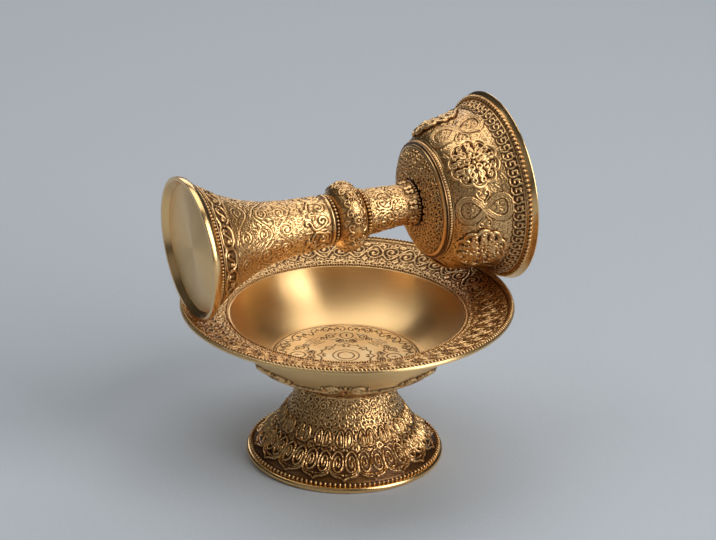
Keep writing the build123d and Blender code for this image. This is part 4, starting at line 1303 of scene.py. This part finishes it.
class OFFERING_OT_calyx(bpy.types.Operator):
    """Shallow dome of small scrolls under the cup, and the rope band round the cup's root"""

    bl_idname = "offering.make_calyx"
    bl_label = "Calyx and Band"

    def execute(self, context):
        sink = context.scene.offering_ornament.sink / MM
        relief = Relief(arc((9.6, 101.85), (24.8, 105.95), -1.2, 64), sectors=10, columns=50, ground=0.85)
        relief.band(relief.reach - 2.3, relief.reach - 0.9, rise=0.5)
        relief.fill(0.6, relief.reach - 2.5, pitch=2.9, line_width=0.29, rise=0.75)
        piece = chased("calyx_chased", relief, [(8.0, 105.95), (8.0, 101.85)], sink, full=0.6)
        finish_chased(piece, "goblet", "calyx")
        path = [(24.9, 106.02), (25.2, 106.06)] + line((25.2, 106.15), (25.2, 108.1), 14)
        path += [(25.2, 108.2), (24.9, 108.24)]
        relief = Relief(path, sectors=130, columns=7, ground=0.5)
        relief.raise_([dot((0, 0), 0.46)], 0, relief.reach / 2 + 0.35, rise=0.42)
        relief.band(0.25, 0.75, rise=0.3, edge=0.2)
        relief.band(2.05, 2.4, rise=0.3, edge=0.2)
        piece = chased("cup_band_rope", relief, [(24.0, 108.24), (24.0, 106.02)], sink=0.4, full=0.4)
        finish_chased(piece, "goblet", "cup_band")
        return {"FINISHED"}


# Outer face of the cup: its root, its widest bulge and the height where the flare meets the bead row.
CUP_LOW = (24.9, 108.35)
CUP_BELLY = (31.6, 118.9)
FLARE_HEIGHT = 136.2

# Distance of the chased wall's back, of the lining's outside and of its inside from that face.
WALL_BACK = 0.9
LINING_OUTSIDE = 0.95
LINING_INSIDE = 1.6

# Heights along the cup's axis: the middle of the floor, where it rounds into the wall, and its underside.
CUP_FLOOR = 109.75
FLOOR_ROUND = 113.4
CUP_UNDER = 106.1

BORDER_HEADS = 12


def cup_wall(count):
    """Outer face of the cup from its root to its bead row."""
    flare = (bpy.context.scene.offering_goblet.cup_radius / MM, FLARE_HEIGHT)
    low = arc(CUP_LOW, CUP_BELLY, -1.55, count * 2 // 5)
    return low + arc(CUP_BELLY, flare, 1.147, count - len(low) + 1)[1:]


# Lobed plates on the cup: how many, their outer radius, the depth between lobes and their middle's height.
CARTOUCHE_COUNT = 5
CARTOUCHE_RADIUS = 11.4
LOBE_DEPTH = 1.5
CARTOUCHE_HEIGHT = 119.25

# Rings and points round the plate's face, and the rings of its back as shares of the outline.
FACE_RINGS = 46
FACE_POINTS = 168
BACK_RINGS = (0.08, 0.38, 0.7, 1.0)

# Heights above the cup's wall of the plate's back, its lower edge and its ground, and of its openwork.
PLATE_BACK = -0.9
PLATE_EDGE = 0.35
PLATE_GROUND = 0.4
OPENWORK = 0.95

# Lines round the plate's edge, as (distance from the edge, half width, height).
EDGE_LINES = ((0.8, 0.78, 0.9), (1.95, 0.26, 0.6))

# Rings of curls on the plate, as (radius, count, size).
CURL_RINGS = ((2.8, 5, 2.8), (5.5, 9, 3.0), (7.9, 13, 2.4))


class OFFERING_OT_cup(bpy.types.Operator):
    """Cup with its chased wall, its lining and its polished lip"""

    bl_idname = "offering.make_cup"
    bl_label = "Cup"

    def execute(self, context):
        self.make_wall(context)
        self.make_lining(context)
        return {"FINISHED"}

    def make_wall(self, context):
        relief = Relief(cup_wall(112), CARTOUCHE_COUNT, columns=150, ground=0.16)
        top = relief.reach
        relief.stain(top - 6.0, top, amount=0.3)
        relief.band(0.0, 0.8, rise=0.3)
        relief.band(top - 0.7, top, rise=0.3)
        head = [
            drawn(
                ((-2.0, -2.4), (-0.2, -2.6), (1.3, -1.4), (1.4, 0.5), (0.1, 1.5), (-1.2, 0.8), (-1.1, -0.6),
                 (0.0, -0.6)),
                (0.3, 0.36, 0.4),
            ),
            leaf((1.0, 1.4), 100, 1.9, 0.42, 20),
            leaf((-1.5, 0.9), 70, 1.7, 0.36, -10),
        ]
        for number in range(BORDER_HEADS):
            relief.raise_(moved(head, scale=0.92), (number + 0.5) / BORDER_HEADS - 0.5, top - 3.2, rise=0.5)
        self.draw_ribbon(relief)
        self.draw_foliage(relief)
        relief.fill(1.0, top - 6.4, pitch=2.6, line_width=0.3, rise=0.13)
        back = beside(cup_wall(6), WALL_BACK)[::-1]
        piece = chased("cup_chased", relief, back, sink=0.35, turn=CARTOUCHE_TURN, full=0.45)
        finish_chased(piece, "goblet", "cup")

    def draw_ribbon(self, relief):
        """Crossed ribbon between two cartouches, with double edges, a palmette in each loop and a heart."""
        upper = ((0, 0), (2.3, 2.2), (4.3, 5.2), (4.5, 8.4), (2.6, 10.5), (0, 11.0))
        lower = ((0, 0), (2.6, -2.2), (4.9, -5.4), (5.0, -8.9), (2.9, -11.2), (0, -11.8))
        crossing = 14.1
        for way in (upper, lower):
            middle = drawn(way)[:2].T
            lines = [np.array(beside(middle, off)).T for off in (0.85, 0.0, -0.85)]
            edges = [stroke_of(*edge, (0.3,), (1.0,)) for edge in lines]
            edges.append(stroke_of(*middle.T, (1.25,), (0.6,)))
            relief.raise_(mirrored(edges), 0.5, crossing, rise=0.55)
        relief.raise_(palmette(3.6), 0.5, crossing + 5.2, rise=0.34)
        relief.raise_(moved(palmette(4.0), turn=180), 0.5, crossing - 5.4, rise=0.34)
        above = ((1.2, 0), (3.6, 0.8), (5.4, 2.4), (7.2, 2.6), (7.7, 1.3), (6.6, 0.6), (6.1, 1.5))
        below = ((1.2, 0), (3.6, -0.8), (5.4, -2.6), (7.2, -3.2), (8.0, -1.9), (6.9, -1.1), (6.3, -2.0))
        heart = mirrored([drawn(points, (0.36, 0.42)) for points in (above, below)])
        relief.raise_(heart, 0.5, crossing, rise=0.5)

    def draw_foliage(self, relief):
        """Feathered leaves that spread from each cartouche."""
        centre = float(np.interp(CARTOUCHE_HEIGHT, relief.path[:, 1], relief.along))
        feathers = []
        for number in range(16):
            angle = 22.5 * number + 11
            bend = 9 if number % 2 else -9
            for lean in (-24, 0, 24):
                spot = round_about(10.4, angle)
                feathers.append(leaf(spot, angle + lean, 4.6 - 0.04 * abs(lean), 0.42, bend))
        relief.raise_(feathers, 0, centre, rise=0.26)

    def make_lining(self, context):
        lip = context.scene.offering_goblet.lip_radius / MM
        inside = [point for point in beside(cup_wall(34), LINING_INSIDE)[::-1] if point[1] > FLOOR_ROUND]
        middle = (0.0, CUP_FLOOR)
        profile = beside(cup_wall(14), LINING_OUTSIDE)
        profile += [(37.0, 136.3), (37.9, 136.9), (38.6, 138.3), (lip - 0.3, 139.5), (lip, 139.8)]
        profile += [(lip, 140.05), (lip - 0.25, 140.3), (lip - 0.9, 140.4), (lip - 1.4, 140.3)]
        profile += inside + arc(inside[-1], middle, 1.8, 18)[1:-1] + [middle]
        profile += [(0.0, CUP_UNDER), (23.9, CUP_UNDER), (23.93, 108.3)]
        finish_polished(turned("cup_lip_polished", profile, 192), "goblet", "cup", 35.0)


class OFFERING_OT_cartouches(bpy.types.Operator):
    """Raised lobed plates on the cup's wall, with an edge line and openwork round a flower"""

    bl_idname = "offering.make_cartouches"
    bl_label = "Cartouches"

    def execute(self, context):
        bpy.ops.object.select_all(action="DESELECT")
        bpy.ops.mesh.primitive_circle_add(vertices=FACE_POINTS, radius=MM)
        piece = open_piece("cup_cartouche")
        for _ in range(FACE_RINGS + len(BACK_RINGS) + 1):
            bpy.ops.mesh.extrude_region_move(TRANSFORM_OT_translate={"value": (0, 0, MM)})
        bpy.ops.mesh.merge(type="CENTER")
        bpy.ops.object.mode_set(mode="OBJECT")
        self.shape(piece)
        bpy.ops.object.mode_set(mode="EDIT")
        bpy.ops.mesh.select_all(action="DESELECT")
        bpy.ops.mesh.select_mode(type="EDGE")
        bpy.ops.mesh.select_non_manifold()
        bpy.ops.mesh.edge_face_add()
        bpy.ops.mesh.select_mode(type="VERT")
        bpy.ops.mesh.select_all(action="SELECT")
        bpy.ops.transform.rotate(value=-radians(CARTOUCHE_TURN), orient_axis="Z", center_override=(0, 0, 0))
        copy_round(CARTOUCHE_COUNT)
        close_piece()
        finish_chased(piece, "goblet", "cup_cartouches", angle=60.0)
        return {"FINISHED"}

    def motif(self):
        """Openwork of small curls and buds round a flower."""
        strokes = [dot((0, 0), 0.9, 1.25)]
        curl = [drawn(CURL, (0.17, 0.2, 0.17), samples=6)]
        for reach, count, size in CURL_RINGS:
            for number in range(count):
                angle = 360 * (number + 0.5) / count
                spot = round_about(reach, angle)
                strokes += moved(curl, *spot, angle + 75 * (number % 3), size, number % 2 == 1)
        bud = [leaf((0, 2.9), 90, 3.2, 0.8, 8, 1.2)] + mirrored([leaf((0.6, 4.2), 50, 2.6, 0.55, 20, 1.1)])
        for number in range(5):
            strokes += moved(bud, turn=72 * number)
        return strokes

    def shape(self, piece):
        """Lay the plate's rings on the cup's wall, with its edge and openwork raised and its ground dark."""
        wall = np.array(cup_wall(160))
        along = run_lengths(wall)
        centre = float(np.interp(CARTOUCHE_HEIGHT, wall[:, 1], along))
        points = points_of(piece).astype(float) / MM
        level = np.rint(points[:, 2]).astype(int)
        angle = np.arctan2(points[:, 1], points[:, 0])
        outline = CARTOUCHE_RADIUS - LOBE_DEPTH * (1 - np.abs(np.cos(5 * angle)) ** 0.6)
        rim = len(BACK_RINGS)
        inward = np.clip((FACE_RINGS + rim + 1 - level) / (FACE_RINGS + 0.5), 0, 1)
        portion = np.where(level <= rim, 1.0, inward)
        for number, part in enumerate(BACK_RINGS):
            portion[level == number] = part
        x = portion * outline * np.cos(angle)
        y = portion * outline * np.sin(angle)
        lift = np.zeros(len(points))
        for stroke in self.motif():
            for at_x, at_y, width, rise in stroke.T:
                near = ((x - at_x) ** 2 + (y - at_y) ** 2) / width**2
                lift = np.maximum(lift, rise * OPENWORK * rounded(near))
        for inset, half_width, rise in EDGE_LINES:
            near = np.abs(portion * outline - (outline - inset)) / half_width
            lift = np.maximum(lift, rise * rounded(near**2))
        paint_recess(piece, 1 - np.clip(lift / 0.75, 0, 1))
        height = np.where(level == rim, PLATE_EDGE, PLATE_GROUND + lift)
        height[level < rim] = PLATE_BACK
        place = np.clip(centre + y, 0, along[-1])
        way = directions(wall)
        spread = np.interp(place, along, wall[:, 0]) + np.interp(place, along, way[:, 1]) * height
        rise = np.interp(place, along, wall[:, 1]) - np.interp(place, along, way[:, 0]) * height
        turn = x / float(np.interp(centre, along, wall[:, 0]))
        move_points(piece, np.stack((spread * np.cos(turn), spread * np.sin(turn), rise), axis=1) * MM)


FASTENERS = ("pedestal_screw", "pedestal_washer", "pedestal_nut", "tie_rod", "tie_washer", "tie_nut")


class OFFERING_OT_fasteners(bpy.types.Operator):
    """Steel finish on the fasteners inside"""

    bl_idname = "offering.dress_fasteners"
    bl_label = "Fasteners"

    def execute(self, context):
        for name in FASTENERS:
            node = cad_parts[name]
            node.data.materials.clear()
            node.data.materials.append(fastener_steel("inner_steel"))
        return {"FINISHED"}


# Picture size and focal length in pixels, the point on the dish's axis that the camera is aimed by, in
# millimetres above the table, the pixel where that point shows, and the sensor's width in millimetres.
PHOTO_WIDTH = 716
PHOTO_HEIGHT = 540
FOCAL_PIXELS = 2607.0
AIM_HEIGHT = 45.0
AIM_PIXEL = (346.2, 353.2)
SENSOR = 36.0

# Area lamps as (name, place, size, watts), in metres, and the height that they point at.
LAMPS = (
    ("key", (0.75, -1.15, 0.9), (0.9, 1.6), 20.0),
    ("fill", (-1.2, -0.9, 1.0), (2.0, 1.5), 1.5),
    ("top", (0.0, 0.35, 1.4), (1.9, 1.1), 11.0),
    ("back", (0.55, 1.6, 0.85), (1.2, 0.8), 5.0),
)
LAMP_AIM = 0.07

# Strength of the surrounding light at the horizon and overhead, and the floor's width in metres.
HORIZON_LIGHT = 0.4
OVERHEAD_LIGHT = 0.92
FLOOR_SIZE = 8.0


class OFFERING_OT_stage(bpy.types.Operator):
    """Pale floor, soft studio light and the camera"""

    bl_idname = "offering.make_stage"
    bl_label = "Stage"

    def execute(self, context):
        self.make_floor(context)
        self.make_light(context)
        self.make_camera(context)
        return {"FINISHED"}

    def make_floor(self, context):
        bpy.ops.object.select_all(action="DESELECT")
        bpy.ops.mesh.primitive_plane_add(size=FLOOR_SIZE)
        floor = bpy.context.object
        floor.name = "floor"
        material, tree, shader, place = new_material("pale_floor")
        colour = context.scene.offering_colours.floor
        weave = noise(tree, place, scale=700.0)
        two_tone(tree, shader, weave, colour, tuple(min(1.0, 1.08 * value) for value in colour))
        shader.inputs["Roughness"].default_value = 0.9
        shader.inputs["Specular IOR Level"].default_value = 0.2
        bump(tree, shader, weave, strength=0.2, distance=0.0005)
        floor.data.materials.append(material)

    def make_light(self, context):
        world = bpy.data.worlds.new("studio")
        context.scene.world = world
        world.use_nodes = True
        tree = world.node_tree
        sky = tree.nodes["Background"]
        place = tree.nodes.new("ShaderNodeTexCoord").outputs["Generated"]
        split = add_node(tree, "ShaderNodeSeparateXYZ", [("Vector", place)])
        ramp = add_node(tree, "ShaderNodeMapRange", [
            ("Value", split.outputs["Z"]), ("From Min", -0.05), ("From Max", 0.95),
            ("To Min", HORIZON_LIGHT), ("To Max", OVERHEAD_LIGHT),
        ])
        tree.links.new(ramp.outputs[0], sky.inputs["Strength"])
        for name, spot, size, power in LAMPS:
            lamp = bpy.data.lights.new(name, "AREA")
            lamp.shape = "RECTANGLE"
            lamp.size, lamp.size_y = size
            lamp.energy = power
            holder = bpy.data.objects.new(name, lamp)
            context.scene.collection.objects.link(holder)
            holder.location = spot
            away = Vector(spot) - Vector((0, 0, LAMP_AIM))
            holder.rotation_euler = away.to_track_quat("Z", "Y").to_euler()

    def make_camera(self, context):
        stage = context.scene.offering_stage
        a, e = stage.azimuth, stage.elevation
        back = Vector((sin(a) * cos(e), -cos(a) * cos(e), sin(e)))
        right = Vector((cos(a), sin(a), 0))
        upward = back.cross(right)
        tilted_right = right * cos(stage.roll) + upward * sin(stage.roll)
        tilted_up = upward * cos(stage.roll) - right * sin(stage.roll)
        level = Matrix((tilted_right, tilted_up, back)).transposed()
        off_x = AIM_PIXEL[0] - PHOTO_WIDTH / 2
        off_y = PHOTO_HEIGHT / 2 - AIM_PIXEL[1]
        sight = Vector((off_x, off_y, -FOCAL_PIXELS)).normalized()
        turn = level @ sight.rotation_difference(Vector((0, 0, -1))).to_matrix()
        camera = bpy.data.objects.new("camera", bpy.data.cameras.new("camera"))
        context.scene.collection.objects.link(camera)
        spot = Vector((0, 0, AIM_HEIGHT * MM)) + back * stage.distance
        camera.matrix_world = Matrix.Translation(spot) @ turn.to_4x4()
        camera.data.sensor_width = SENSOR
        camera.data.lens = FOCAL_PIXELS / PHOTO_WIDTH * SENSOR
        camera.data.clip_start = 0.01
        context.scene.camera = camera
        context.scene.view_settings.view_transform = "Standard"


GROUPS = (
    ("offering_dish", DishSizes),
    ("offering_goblet", GobletSizes),
    ("offering_ornament", OrnamentSizes),
    ("offering_colours", BrassColours),
    ("offering_stage", StageSettings),
)
OPERATORS = (
    OFFERING_OT_dish, OFFERING_OT_flange, OFFERING_OT_medallion, OFFERING_OT_foot, OFFERING_OT_foot_collar,
    OFFERING_OT_foot_ring, OFFERING_OT_beads, OFFERING_OT_goblet_base, OFFERING_OT_trumpet, OFFERING_OT_knop,
    OFFERING_OT_stem, OFFERING_OT_calyx, OFFERING_OT_cup, OFFERING_OT_cartouches, OFFERING_OT_fasteners,
    OFFERING_OT_stage,
)


class OFFERING_PT_panel(bpy.types.Panel):
    """Lists the pieces of the offering bowl"""

    bl_idname = "OFFERING_PT_panel"
    bl_label = "Offering Bowl"
    bl_space_type = "VIEW_3D"
    bl_region_type = "UI"
    bl_category = "Offering Bowl"

    def draw(self, context):
        for operator in OPERATORS:
            self.layout.operator(operator.bl_idname)


def register():
    """Add the properties, operators and panel"""
    for name, group in GROUPS:
        bpy.utils.register_class(group)
        setattr(bpy.types.Scene, name, PointerProperty(type=group))
    for operator in OPERATORS:
        bpy.utils.register_class(operator)
    bpy.utils.register_class(OFFERING_PT_panel)


def unregister():
    """Take the panel, operators and properties away again"""
    bpy.utils.unregister_class(OFFERING_PT_panel)
    for operator in reversed(OPERATORS):
        bpy.utils.unregister_class(operator)
    for name, group in reversed(GROUPS):
        delattr(bpy.types.Scene, name)
        bpy.utils.unregister_class(group)


def main():
    """Make every piece and the stage"""
    register()
    for operator in OPERATORS:
        family, verb = operator.bl_idname.split(".")
        getattr(getattr(bpy.ops, family), verb)()


if __name__ == "__main__":
    main()
